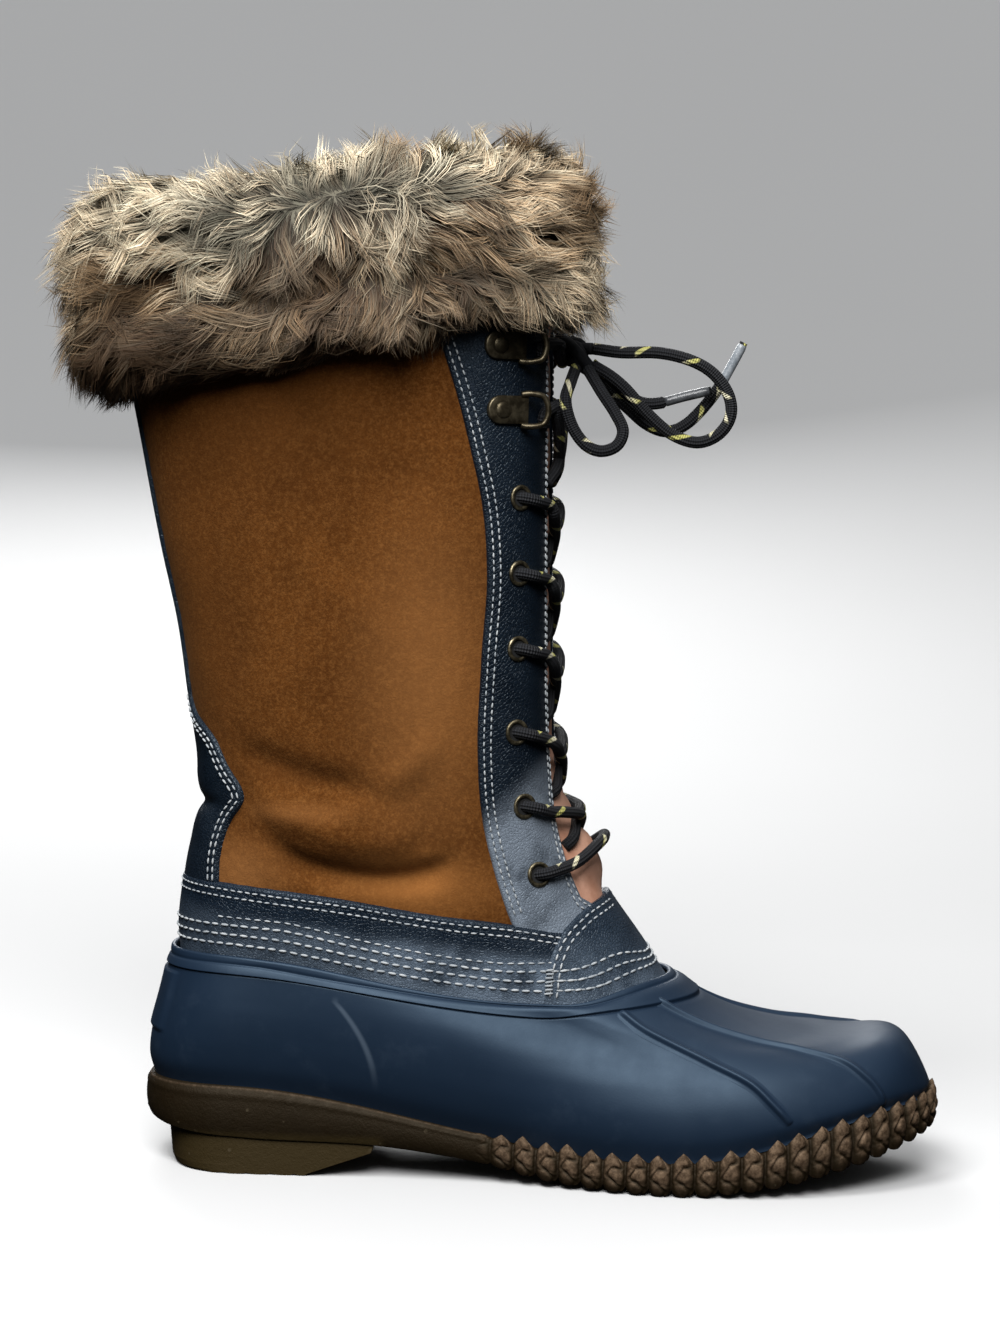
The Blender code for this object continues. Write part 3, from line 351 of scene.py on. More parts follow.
def folds(points):
    """How far soft creases push the shaft in or out. They die away at the ankle band."""
    x, y, z = points[..., 0], points[..., 1], points[..., 2]
    side = soft(-y, 5.0, 20.0) * fold_push(FOLDS, x, z) + soft(y, 5.0, 20.0) * fold_push(INNER_FOLDS, x, z)
    back = sum(push * bell(z - height, spread) for push, height, spread in HEEL_FOLDS)
    return soft(z, 96.0, 106.0) * (side + soft(x, 34.0, 22.0) * back)


def skin(u, z, lift):
    """Points and normals on the shaft, lifted off the suede's own face."""
    v = level_at(u, z)
    points = leather(u, v)
    normals = outward(leather, u, v)
    return points + normals * (np.asarray(lift + folds(points)))[..., None], normals


def place(points):
    """Millimetres from the back of the heel to metres from the origin."""
    points = np.asarray(points, float)
    return (points - np.array([HEEL_CENTRE, 0.0, 0.0])) * MM


# Meshes.
def link_object(name, data):
    obj = bpy.data.objects.new(name, data)
    bpy.context.scene.collection.objects.link(obj)
    return obj


def keep(obj, *nodes):
    """Fixes a piece to the one body, in place of the nodes that it finishes."""
    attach(obj, "root")
    if nodes:
        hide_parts(*nodes)
    return obj


def add_mesh(name, points, faces, material, smooth=True):
    mesh = bpy.data.meshes.new(name)
    mesh.from_pydata(place(points).tolist(), [], faces)
    mesh.update()
    mesh.materials.append(material)
    if smooth:
        mesh.shade_smooth()
    return link_object(name, mesh)


def joined(parts):
    """Several (vertices, faces) pairs as one."""
    verts, faces, start = [], [], 0
    for part_verts, part_faces in parts:
        verts.append(part_verts)
        faces += [tuple(start + i for i in face) for face in part_faces]
        start += len(part_verts)
    return np.vstack(verts), faces


def grid_faces(rows, columns, closed, tubular=False):
    """Quads between rows of points; closed joins the last row to the first, tubular the last column."""
    faces = []
    for i in range(rows if closed else rows - 1):
        a, b = i * columns, ((i + 1) % rows) * columns
        for j in range(columns if tubular else columns - 1):
            k = (j + 1) % columns
            faces.append((a + j, b + j, b + k, a + k))
    return faces


def grid(name, points, closed, material):
    """Quads on an array of points, rows running round the boot and columns going up."""
    rows, columns = points.shape[:2]
    return add_mesh(name, points.reshape(-1, 3), grid_faces(rows, columns, closed), material)


def spaced(length, count, near=(0.0, 0.35, 0.8, 1.6)):
    """Shares of a length with extra steps close to both ends."""
    ends = np.array(near) / length
    inside = np.linspace(ends[-1], 1.0 - ends[-1], count)
    return np.concatenate([ends[:-1], inside, 1.0 - ends[-2::-1]])


def edge_distance(points, lines):
    """How far each grid point lies from the nearest of some lines of points."""
    flat = points.reshape(-1, 3)
    nearest = np.full(len(flat), 1e9)
    for line in lines:
        for start in range(0, len(flat), 4000):
            away = np.linalg.norm(flat[start : start + 4000, None] - line[None], axis=2).min(axis=1)
            nearest[start : start + 4000] = np.minimum(nearest[start : start + 4000], away)
    return nearest.reshape(points.shape[:2])


EDGE_ROUND = 1.1  # width over which a free edge is rounded
EDGE_SUNK = 0.5  # how far its foot goes into the suede


def trim(name, u, z, free, top, material):
    """A piece of leather on the shaft whose free edges are rounded down to the suede."""
    base, _ = skin(u, z, 0.0)
    sides = {"left": base[0], "right": base[-1], "low": base[:, 0], "high": base[:, -1]}
    away = edge_distance(base, [sides[side] for side in free])
    inward = 1.0 - np.clip(away / EDGE_ROUND, 0, 1)
    lift = -EDGE_SUNK + (top + EDGE_SUNK) * np.sqrt(np.clip(1.0 - inward**2, 0, 1))
    points, _ = skin(u, z, lift)
    return grid(name, points, False, material)


def sweep(points, radius, around=12, closed=False):
    """Vertices and faces of a round tube along points."""
    points = np.asarray(points, float)
    count = len(points)
    ahead = np.gradient(points, axis=0)
    if closed:
        ahead = np.roll(points, -1, axis=0) - np.roll(points, 1, axis=0)
    ahead = unit(ahead)
    up = np.zeros_like(points)
    first = np.array([0.0, 0.0, 1.0])
    first = first - ahead[0] * np.dot(first, ahead[0])
    if np.linalg.norm(first) < 1e-3:
        first = np.cross(ahead[0], [1.0, 0.0, 0.0])
    up[0] = first / np.linalg.norm(first)
    for k in range(1, count):
        turned = up[k - 1] - ahead[k] * np.dot(up[k - 1], ahead[k])
        up[k] = turned / np.linalg.norm(turned)
    across = np.cross(ahead, up)
    angle = np.linspace(0.0, 2 * math.pi, around, endpoint=False)
    radius = np.broadcast_to(radius, (count,))
    ring = up[:, None] * np.cos(angle)[None, :, None] + across[:, None] * np.sin(angle)[None, :, None]
    verts = points[:, None] + ring * radius[:, None, None]
    faces = []
    for i in range(count if closed else count - 1):
        a, b = i * around, ((i + 1) % count) * around
        for j in range(around):
            k = (j + 1) % around
            faces.append((a + j, a + k, b + k, b + j))
    if not closed:
        faces.append(tuple(range(around))[::-1])
        faces.append(tuple(range((count - 1) * around, count * around)))
    return verts.reshape(-1, 3), faces


def smooth_route(route, count):
    """Evenly spaced points on a smooth line through a route's points."""
    route = np.array(route, float)
    padded = np.vstack([2 * route[0] - route[1], route, 2 * route[-1] - route[-2]])
    spread = np.linspace(0.0, len(route) - 1.0, count * 4)
    line = spline_weight(spread[:, None] - (np.arange(len(padded)) - 1)[None, :]) @ padded
    run = run_along(line)
    even = np.linspace(0.0, run[-1], count)
    return np.stack([np.interp(even, run, line[:, axis]) for axis in range(3)], axis=-1)


# Materials.
class Tree:
    """A short way to write nodes, which read their place from these coordinates."""

    def __init__(self, owner, coordinates):
        owner.use_nodes = True
        self.tree = owner.node_tree
        self.spot = self.add("ShaderNodeTexCoord").outputs[coordinates]

    def add(self, kind, **settings):
        node = self.tree.nodes.new(kind)
        for key, value in settings.items():
            setattr(node, key, value)
        return node

    def wire(self, value, socket):
        if isinstance(value, bpy.types.NodeSocket):
            self.tree.links.new(value, socket)
        else:
            socket.default_value = value

    def noise(self, scale, detail=4.0, rough=0.55, warp=0.0):
        node = self.add("ShaderNodeTexNoise")
        self.wire(self.spot, node.inputs["Vector"])
        for key, value in (("Scale", scale), ("Detail", detail), ("Roughness", rough), ("Distortion", warp)):
            node.inputs[key].default_value = value
        return node.outputs["Fac"]

    def cells(self, scale, feature="F1"):
        node = self.add("ShaderNodeTexVoronoi", feature=feature)
        self.wire(self.spot, node.inputs["Vector"])
        node.inputs["Scale"].default_value = scale
        return node.outputs["Distance"]

    def math(self, operation, a, b=0.0, c=0.0, clamp=False):
        node = self.add("ShaderNodeMath", operation=operation, use_clamp=clamp)
        for value, socket in zip((a, b, c), node.inputs):
            self.wire(value, socket)
        return node.outputs["Value"]

    def times(self, *values):
        product = values[0]
        for value in values[1:]:
            product = self.math("MULTIPLY", product, value)
        return product

    def span(self, value, low, high, to_low=0.0, to_high=1.0):
        """A smooth step of the value from low to high."""
        node = self.add("ShaderNodeMapRange", interpolation_type="SMOOTHSTEP")
        for number, socket in zip((value, low, high, to_low, to_high), node.inputs):
            self.wire(number, socket)
        return node.outputs["Result"]

    def mix(self, share, a, b):
        node = self.add("ShaderNodeMix", data_type="RGBA")
        self.wire(share, node.inputs["Factor"])
        for value, socket in ((a, node.inputs[6]), (b, node.inputs[7])):
            self.wire(value if isinstance(value, bpy.types.NodeSocket) else (*value, 1.0), socket)
        return node.outputs[2]

    def axes(self):
        node = self.add("ShaderNodeSeparateXYZ")
        self.wire(self.spot, node.inputs["Vector"])
        return node.outputs

    def blob(self, centre, radii):
        """1 at a point and 0 beyond the radii, in metres."""
        shift = self.add("ShaderNodeVectorMath", operation="SUBTRACT")
        self.wire(self.spot, shift.inputs[0])
        shift.inputs[1].default_value = centre
        scale = self.add("ShaderNodeVectorMath", operation="DIVIDE")
        self.wire(shift.outputs[0], scale.inputs[0])
        scale.inputs[1].default_value = radii
        size = self.add("ShaderNodeVectorMath", operation="LENGTH")
        self.wire(scale.outputs[0], size.inputs[0])
        return self.span(size.outputs["Value"], 1.0, 0.0)


class Nodes(Tree):
    """The nodes of a material and its shader."""

    def __init__(self, name, roughness=0.5, metallic=0.0):
        self.material = bpy.data.materials.new(name)
        super().__init__(self.material, "Object")
        self.shader = self.tree.nodes["Principled BSDF"]
        self.shader.inputs["Roughness"].default_value = roughness
        self.shader.inputs["Metallic"].default_value = metallic

    def colour(self, value):
        self.wire(value if isinstance(value, bpy.types.NodeSocket) else (*value, 1.0),
                  self.shader.inputs["Base Color"])

    def shine(self, level, tint=(1.0, 1.0, 1.0)):
        self.shader.inputs["Specular IOR Level"].default_value = level
        self.shader.inputs["Specular Tint"].default_value = (*tint, 1.0)

    def rough(self, value):
        self.wire(value, self.shader.inputs["Roughness"])

    def bump(self, height, distance, strength=1.0, below=None):
        node = self.add("ShaderNodeBump")
        node.inputs["Strength"].default_value = strength
        node.inputs["Distance"].default_value = distance
        self.wire(height, node.inputs["Height"])
        if below is not None:
            self.wire(below, node.inputs["Normal"])
        self.wire(node.outputs["Normal"], self.shader.inputs["Normal"])
        return node.outputs["Normal"]


def rubber_material():
    m = Nodes("navy_rubber", 0.4)
    x, y, z = m.axes()
    base = m.mix(m.noise(14, 3), (0.0045, 0.0115, 0.0245), (0.0085, 0.0180, 0.0370))
    dust = m.span(m.noise(60, 6, 0.7), 0.52, 0.75)
    base = m.mix(m.times(dust, 0.16), base, (0.04, 0.06, 0.09))
    # the pale stretch mark on the outer side, bowed toward the toe
    rise = m.math("DIVIDE", m.math("SUBTRACT", z, 0.0292), 0.034, clamp=True)
    bow = m.times(m.math("SUBTRACT", 1.0, m.math("POWER", rise, 2.3)), 0.0143)
    away = m.math("ABSOLUTE", m.math("SUBTRACT", m.math("SUBTRACT", x, 0.0316), bow))
    ends = m.times(m.span(z, 0.030, 0.048), m.span(z, 0.066, 0.060))
    mark = m.times(m.span(away, 0.0017, 0.0002), m.times(ends, m.span(y, -0.02, -0.03)))
    base = m.mix(m.times(mark, 0.34), base, (0.13, 0.17, 0.22))
    m.colour(base)
    m.rough(m.math("MULTIPLY_ADD", m.noise(90, 5, 0.65), 0.16, 0.43))
    m.shine(0.45, (0.58, 0.79, 1.0))
    low = m.bump(m.noise(22, 2), 0.0008, 0.35)
    m.bump(m.noise(1500, 3, 0.6), 0.00004, 0.5, low)
    return m.material


def leather_material(name, dark, light, sheen_below=None, pale=(0.066, 0.088, 0.115), sheen_share=0.5):
    """Pebbled navy leather with a painted sheen below a line: its height at x = 0, its slope and its blur."""
    m = Nodes(name, 0.45)
    x, _, z = m.axes()
    base = m.mix(m.span(m.noise(30, 5, 0.6), 0.3, 0.72), dark, light)
    grain = m.cells(880, "DISTANCE_TO_EDGE")
    crease = m.span(grain, 0.0, 0.16)
    # darker in the grain's creases: painted shade
    base = m.mix(m.times(m.span(grain, 0.12, 0.0), 0.5), base, tuple(0.4 * c for c in dark))
    # lighter flecks on the pebbles' tops: painted highlights
    speck = m.times(m.span(grain, 0.2, 0.4), m.span(m.noise(420, 3, 0.6), 0.5, 0.66))
    if sheen_below:
        start, slope, blur = sheen_below
        # painted sheen below the line, growing toward the front where the light falls, with painted highlights
        # on its pebbles
        below = m.math("SUBTRACT", z, m.math("MULTIPLY_ADD", x, slope, start))
        low = m.times(m.span(below, blur, -blur), m.span(x, -0.03, 0.085, 0.25, 1.0))
        patch = m.times(low, m.span(m.noise(75, 4), 0.15, 0.6))
        base = m.mix(m.times(patch, sheen_share), base, pale)
        base = m.mix(m.times(m.times(speck, low), 0.55), base, (0.14, 0.17, 0.21))
    base = m.mix(m.times(speck, 0.12), base, (0.06, 0.08, 0.10))
    m.colour(base)
    m.rough(m.math("MULTIPLY_ADD", m.noise(120, 5, 0.6), 0.22, 0.30))
    m.shine(0.30, (0.75, 0.88, 1.0))
    soft_bump = m.bump(m.noise(70, 3), 0.0009, 0.5)
    m.bump(crease, 0.00026, 0.6, soft_bump)
    return m.material


def suede_material():
    """Napped tan suede with patches of painted light and shade, by place (x, y, z), size and strength."""
    m = Nodes("tan_suede", 0.95)
    broad = m.noise(26, 5, 0.62, warp=0.5)
    fine = m.noise(560, 5, 0.75)
    nap = m.noise(1300, 3, 0.7)
    base = m.mix(m.span(broad, 0.25, 0.75), (0.056, 0.0180, 0.0030), (0.110, 0.038, 0.0072))
    base = m.mix(m.times(m.span(fine, 0.40, 0.66), 0.42), base, (0.20, 0.084, 0.022))
    base = m.mix(m.times(m.span(nap, 0.60, 0.38), 0.50), base, (0.040, 0.012, 0.002))
    # painted light and shade: the fur's shadow on the top, shade at the back, lit patches low and toward the
    # front, thin bands for the creases' highlight and shade
    for place_at, radii, share, tone in (
        ((0.005, -0.04, 0.270), (0.075, 0.06, 0.055), 0.62, (0.045, 0.016, 0.003)),
        ((-0.02, -0.03, 0.185), (0.032, 0.05, 0.10), 0.45, (0.060, 0.021, 0.004)),
        ((0.062, -0.04, 0.175), (0.038, 0.06, 0.085), 0.34, (0.34, 0.145, 0.045)),
        ((-0.004, -0.04, 0.106), (0.026, 0.05, 0.020), 0.44, (0.34, 0.145, 0.045)),
        ((0.018, -0.04, 0.1285), (0.030, 0.05, 0.0065), 0.25, (0.34, 0.145, 0.045)),
        ((0.038, -0.04, 0.1115), (0.042, 0.05, 0.0065), 0.50, (0.030, 0.010, 0.002)),
        ((0.016, -0.04, 0.143), (0.036, 0.05, 0.0080), 0.40, (0.045, 0.015, 0.003)),
        ((0.060, -0.04, 0.104), (0.046, 0.05, 0.018), 0.50, (0.32, 0.128, 0.034)),
    ):
        base = m.mix(m.times(m.blob(place_at, radii), share), base, tone)
    m.colour(base)
    m.shader.inputs["Sheen Weight"].default_value = 0.04
    m.shader.inputs["Sheen Roughness"].default_value = 0.5
    m.shader.inputs["Sheen Tint"].default_value = (0.8, 0.45, 0.2, 1.0)
    m.shine(0.05)
    low = m.bump(m.noise(45, 4, 0.6), 0.0010, 0.5)
    m.bump(nap, 0.0003, 0.7, low)
    return m.material


def gum_material():
    """Gum rubber: the links' shading attribute is 0 in the gaps between links and 1 on their crests: painted
    shade and painted highlights.
    """
    m = Nodes("gum_rubber", 0.6)
    x, _, z = m.axes()
    relief_shading = m.add("ShaderNodeAttribute", attribute_name="relief_shading").outputs["Fac"]
    # the painted highlight colour for the links' crests
    crest = m.mix(m.span(m.noise(520, 4, 0.75), 0.35, 0.7), (0.044, 0.027, 0.016), (0.150, 0.100, 0.063))
    base = m.mix(m.noise(60, 5, 0.6), (0.0055, 0.0032, 0.0010), (0.0105, 0.0062, 0.0020))
    # lighter low on the heel block: painted light
    heel = m.times(m.span(z, 0.0165, 0.0125), m.span(x, 0.05, 0.045))
    base = m.mix(heel, base, (0.028, 0.019, 0.0066))
    # painted highlights on the crests and painted shade in the gaps
    base = m.mix(m.span(relief_shading, 0.42, 1.0), base, crest)
    base = m.mix(m.span(relief_shading, 0.36, 0.05), base, (0.014, 0.009, 0.005))
    speck = m.span(m.cells(240), 0.2, 0.12)
    speck = m.times(speck, m.times(m.span(m.noise(160), 0.55, 0.65), 0.4))
    base = m.mix(speck, base, (0.10, 0.08, 0.05))
    m.colour(base)
    m.shine(0.22, (1.0, 0.85, 0.65))
    low = m.bump(m.noise(150, 5, 0.65), 0.0004, 0.5)
    m.bump(m.noise(900, 4, 0.7), 0.0005, 0.5, low)
    m.rough(m.math("MULTIPLY_ADD", m.noise(300), 0.3, 0.45))
    return m.material


def metal_material(name, dark, bright, scale):
    m = Nodes(name, 0.4, 0.9)
    worn = m.span(m.noise(scale, 5, 0.65), 0.4, 0.68)
    m.colour(m.mix(worn, dark, bright))
    m.rough(m.math("MULTIPLY_ADD", m.noise(scale * 2.2, 4), 0.3, 0.25))
    m.bump(m.noise(scale * 3, 4), 0.00006, 0.5)
    return m.material


def thread_material():
    m = Nodes("thread", 0.8)
    m.colour(m.mix(m.span(m.noise(140, 3), 0.35, 0.65), (0.24, 0.265, 0.285), (0.40, 0.42, 0.43)))
    m.bump(m.noise(2600, 2), 0.0001, 0.6)
    return m.material


def lace_material():
    """Braided cord: UV is the length and the way round, in millimetres and turns."""
    m = Nodes("lace_cord", 0.75)
    node = m.add("ShaderNodeUVMap", uv_map="cord")
    parts = m.add("ShaderNodeSeparateXYZ")
    m.wire(node.outputs["UV"], parts.inputs["Vector"])
    run, turn = parts.outputs[0], parts.outputs[1]
    right = m.math("SINE", m.times(m.math("MULTIPLY_ADD", turn, 5.0, m.times(run, 0.62)), 6.2832))
    left = m.math("SINE", m.times(m.math("MULTIPLY_ADD", turn, -5.0, m.times(run, 0.62)), 6.2832))
    braid = m.times(right, left)
    # two fleck strands wind slowly round and show in dashes
    total = None
    for start, period, offset in ((0.0, 17.0, 0.15), (0.5, 23.0, 0.6)):
        wind = m.math("FRACT", m.math("ADD", m.math("MULTIPLY_ADD", run, 0.052, turn), start))
        strip = m.times(m.span(wind, 0.0, 0.03), m.span(wind, 0.17, 0.14))
        dash = m.math("FRACT", m.math("MULTIPLY_ADD", run, 1.0 / period, offset))
        strip = m.times(strip, m.times(m.span(dash, 0.0, 0.05), m.span(dash, 0.36, 0.30)))
        total = strip if total is None else m.math("MAXIMUM", total, strip)
    tone = m.span(m.noise(90, 1), 0.42, 0.58)
    fleck = m.mix(tone, (0.42, 0.40, 0.12), (0.60, 0.56, 0.40))
    # darker in the braid's grooves: painted shade
    base = m.mix(m.span(braid, -0.6, 0.6), (0.003, 0.003, 0.004), (0.012, 0.013, 0.016))
    m.colour(m.mix(total, base, fleck))
    m.shine(0.3)
    m.bump(braid, 0.0004, 0.8)
    return m.material


def plain_material(name, dark, light, scale, roughness=0.7, height=0.0003):
    m = Nodes(name, roughness)
    m.colour(m.mix(m.span(m.noise(scale, 5, 0.6), 0.3, 0.7), dark, light))
    m.bump(m.noise(scale * 3, 4, 0.6), height, 0.6)
    return m.material


def hair_material():
    m = Nodes("fur_hairs", 0.6)
    tone = m.add("ShaderNodeAttribute", attribute_name="tone").outputs["Color"]
    m.colour(m.mix(m.times(m.span(m.noise(70, 3), 0.55, 0.3), 0.3), tone, (0.03, 0.022, 0.014)))
    m.shader.inputs["Specular IOR Level"].default_value = 0.2
    return m.material


RUBBER = rubber_material()
# Copies of one navy leather: the band's is painted lighter and the throat's lighter still, as lit copies; each
# has a painted sheen below its line.
NAVY = leather_material("navy_leather", (0.0022, 0.0050, 0.0098), (0.0065, 0.0120, 0.0200),
                        (0.0440, 0.98, 0.009), (0.165, 0.195, 0.235), 0.85)
NAVY_BAND = leather_material("navy_leather_band", (0.0030, 0.0070, 0.0140), (0.0095, 0.0175, 0.0300),
                             (0.0905, -0.12, 0.004), (0.100, 0.130, 0.170), 1.0)
NAVY_THROAT = leather_material("navy_leather_throat", (0.009, 0.016, 0.027), (0.026, 0.040, 0.060),
                               (0.104, -0.20, 0.010), (0.10, 0.13, 0.17), 0.6)
SUEDE = suede_material()
GUM = gum_material()
BRASS = metal_material("aged_brass", (0.06, 0.05, 0.03), (0.26, 0.22, 0.14), 420)
DARK_BRASS = metal_material("dark_brass", (0.050, 0.040, 0.024), (0.15, 0.125, 0.080), 260)
THREAD = thread_material()
LACE = lace_material()
TONGUE = plain_material("tongue_leather", (0.42, 0.20, 0.125), (0.66, 0.38, 0.27), 60, 0.5)
# a near-black disc: painted shade inside each eyelet's hole
HOLE_SHADE = plain_material("eyelet_hole_shade", (0.002, 0.002, 0.002), (0.004, 0.004, 0.004), 200, 0.9)
FELT = plain_material("footbed_felt", (0.20, 0.17, 0.13), (0.30, 0.26, 0.21), 300, 0.95)
LINING = plain_material("shaft_lining", (0.10, 0.07, 0.045), (0.17, 0.125, 0.085), 120, 0.95)
HAIR = hair_material()
AGLET = plain_material("aglet", (0.13, 0.15, 0.17), (0.26, 0.28, 0.30), 300, 0.25)
AGLET_DARK = plain_material("aglet_dark", (0.035, 0.037, 0.042), (0.08, 0.085, 0.09), 300, 0.3)


# Camera and cords come first.
def aim(obj, target, roll=0.0):
    direction = Vector(target) - obj.location
    obj.rotation_mode = "QUATERNION"
    obj.rotation_quaternion = direction.to_track_quat("-Z", "Y") @ Quaternion((0, 0, 1), math.radians(roll))


CAMERA_AT = (0.160, -1.100, 0.251)
CAMERA_TARGET = (0.0845, 0.0, 0.1785)
CAMERA_ANGLE, CAMERA_ROLL = 18.3, 0.9  # degrees


def make_camera():
    data = bpy.data.cameras.new("camera")
    data.sensor_fit = "HORIZONTAL"
    data.angle = math.radians(CAMERA_ANGLE)
    camera = link_object("camera", data)
    camera.location = CAMERA_AT
    aim(camera, CAMERA_TARGET, CAMERA_ROLL)
    bpy.context.scene.camera = camera


def cord_mesh(name, line, material, radius=CORD / 2, around=14):
    """A cord as a tube mesh whose UVs hold its length and the way round."""
    verts, faces = sweep(line, radius, around)
    obj = add_mesh(name, verts, faces, material)
    run = run_along(line)
    layer = obj.data.uv_layers.new(name="cord")
    uv = np.zeros((len(obj.data.loops), 2))
    k = 0
    for i in range(len(line) - 1):
        for j in range(around):
            a, b = j / around, (j + 1) / around
            uv[k : k + 4] = ((run[i], a), (run[i], b), (run[i + 1], b), (run[i + 1], a))
            k += 4
    layer.data.foreach_set("uv", uv.ravel())
    return obj


KNOT = (148.2, -5.0, 290.0)
KNOT_BIGHTS = (
    ((-4.5, -3.0, 5.0), (-0.5, -6.2, 2.6), (3.6, -6.4, -1.6), (6.6, -4.4, -5.0)),
    ((-3.5, 4.5, 2.5), (0.0, 0.0, 0.0), (2.0, -3.5, -3.5), (5.5, -1.0, -6.0)),
    ((-5.5, -1.0, -1.0), (0.0, -1.0, 1.0), (4.5, -2.4, 1.2), (7.6, -3.4, 1.2)),
)
LOOP_BIG = (
    (156.2, -8.6, 291.2), (166, -9.5, 290.0), (179, -10.0, 290.0), (190, -10.0, 287.6), (198, -9.5, 283.2),
    (203.5, -9.0, 276.0), (204.5, -9.0, 268.5), (200.5, -9.0, 262.0), (193, -9.0, 259.0), (184, -9.0, 261.8),
    (175.5, -9.0, 268.8), (168, -9.0, 277.0), (162.5, -9.0, 281.6), (156.4, -8.4, 285.2),
)
LOOP_SMALL = (
    (150.2, -11.6, 284.3), (148.8, -19.0, 279.0), (147.4, -23.5, 272.5), (149.8, -24.0, 264.0),
    (154.5, -24.0, 257.6), (160.0, -24.0, 255.4), (165.4, -23.5, 257.4), (167.4, -22.5, 262.6),
    (164.6, -21.0, 268.6), (160.2, -18.5, 275.0), (157.2, -15.5, 279.6), (154.4, -11.9, 284.0),
)
END_1 = (
    (155.3, -3.7, 286.2), (162.0, -3.2, 281.0), (168.0, -3.0, 275.6), (173.0, -3.0, 272.8),
    (179.0, -3.0, 272.6), (188.0, -3.0, 275.0), (197.6, -3.0, 277.4),
)
END_2 = (
    (152.7, -0.2, 285.1), (158.6, 3.0, 279.4), (168.0, 3.0, 271.0), (175.0, 3.0, 265.2), (182.0, 3.0, 262.8),
    (188.5, 3.0, 265.2), (194.7, 3.0, 271.2), (200.6, 3.0, 279.2), (204.8, 3.0, 286.8), (208.7, 3.0, 294.4),
)


AGLET_RADIUS = 1.7
AGLET_LENGTH = 17.0


def free_cord(name, node, route, count, aglet=None):
    """A free stretch of the lace, with its aglet if it ends in one."""
    line = smooth_route(route, count)
    thick = np.full(len(line), CORD / 2)
    if aglet is not None:
        run = run_along(line)
        inside = run > run[-1] - AGLET_LENGTH
        tail = line[inside]
        thick[inside] = AGLET_RADIUS - 0.3
        radius = np.full(len(tail), AGLET_RADIUS)
        radius[-2:] = (0.9 * AGLET_RADIUS, 0.55 * AGLET_RADIUS)
        keep(add_mesh(name + "_aglet", *sweep(tail, radius, 16), aglet))
    obj = keep(cord_mesh(name, line, LACE, thick), node)


def make_knot():
    """The bow's knot: wraps over the bights that pass through it, all of the same cord."""
    centre = np.array(KNOT)
    angle = np.linspace(0.0, 2 * math.pi, 26, endpoint=False)
    tubes = []
    for lean, shift, wide, tall in ((0.35, (0.3, 0.0, 0.3), 3.9, 3.3), (-0.5, (0.6, -3.4, -0.6), 3.0, 2.6),
                                    (0.1, (-0.4, 3.2, 0.0), 3.2, 2.7)):
        ring = np.stack([wide * np.cos(angle), 1.3 * np.sin(2 * angle) + lean * 2.0 * np.cos(angle),
                         tall * np.sin(angle)], axis=1)
        tubes.append(sweep(centre + np.array(shift) + ring, CORD / 2, 12, closed=True))
    for bight in KNOT_BIGHTS:
        tubes.append(sweep(smooth_route([centre + np.array(spot) for spot in bight], 24), CORD / 2, 12))
    keep(add_mesh("knot_wraps", *joined(tubes), LACE), "lace_knot")


make_camera()
make_knot()
free_cord("bow_loop_big", "lace_loop_big", LOOP_BIG, 110)
free_cord("bow_loop_small", "lace_loop_small", LOOP_SMALL, 80)
free_cord("bow_end_1", "lace_end_1", END_1, 50, AGLET_DARK)
free_cord("bow_end_2", "lace_end_2", END_2, 70, AGLET)


# Stitches.
def capsule():
    """A stitch along X: unit half length and radius, fuller in the middle."""
    turn = np.linspace(0.0, 2 * math.pi, 6, endpoint=False)
    verts = [(-1.0, 0.0, -0.35)]
    for along_x, size in ((-0.82, 0.62), (-0.3, 1.0), (0.3, 1.0), (0.82, 0.62)):
        verts += [(along_x, size * math.cos(a), size * math.sin(a)) for a in turn]
    verts.append((1.0, 0.0, -0.35))
    faces = [(0, 1 + (j + 1) % 6, 1 + j) for j in range(6)]
    for i in range(3):
        a, b = 1 + 6 * i, 7 + 6 * i
        faces += [(a + j, a + (j + 1) % 6, b + (j + 1) % 6, b + j) for j in range(6)]
    faces += [(19 + j, 19 + (j + 1) % 6, 25) for j in range(6)]
    return np.array(verts, float), faces


STITCH_VERTS, STITCH_FACES = capsule()
stitches = []


def stitch_line(points, normals, pitch=3.1, length=2.45, radius=0.42, lift=0.12):
    """Stitches at even steps along a line on the leather."""
    run = run_along(points)
    count = max(1, int(run[-1] / pitch))
    centres = (np.arange(count) + 0.5) * run[-1] / count
    for centre in centres:
        centre = centre + rng.uniform(-0.12, 0.12)
        spot = np.array([np.interp(centre, run, points[:, k]) for k in range(3)])
        normal = unit(np.array([np.interp(centre, run, normals[:, k]) for k in range(3)]))
        back = np.array([np.interp(centre - 1.0, run, points[:, k]) for k in range(3)])
        ahead = np.array([np.interp(centre + 1.0, run, points[:, k]) for k in range(3)])
        forward = ahead - back
        forward = unit(forward - normal * np.dot(forward, normal))
        side = np.cross(normal, forward)
        forward = unit(forward + side * rng.uniform(-0.09, 0.09))
        side = np.cross(normal, forward)
        half = 0.5 * length * rng.uniform(0.92, 1.05)
        shape = STITCH_VERTS * np.array([half, radius, radius])
        verts = spot + normal * lift + shape @ np.stack([forward, side, normal])
        stitches.append((verts, STITCH_FACES))


def shifted(points, normals, distance):
    """A line moved sideways over the surface, to the left of its own direction seen from outside."""
    ahead = unit(np.gradient(points, axis=0))
    return points + distance * np.cross(normals, ahead)


def both_sides(u):
    return ((-1, u), (1, 2.0 - u))


def seam(u, z, rise, aside, *stitch):
    """A row of stitches at u and z on leather of this rise, moved aside over its face."""
    points, normals = skin(u, z, rise)
    stitch_line(shifted(points, normals, aside), normals, *stitch)


def thickened(obj, thickness):
    """Gives a surface a wall, inward from its face."""
    wall = obj.modifiers.new("wall", "SOLIDIFY")
    wall.thickness = thickness * MM
    wall.offset = -1.0
    return wall


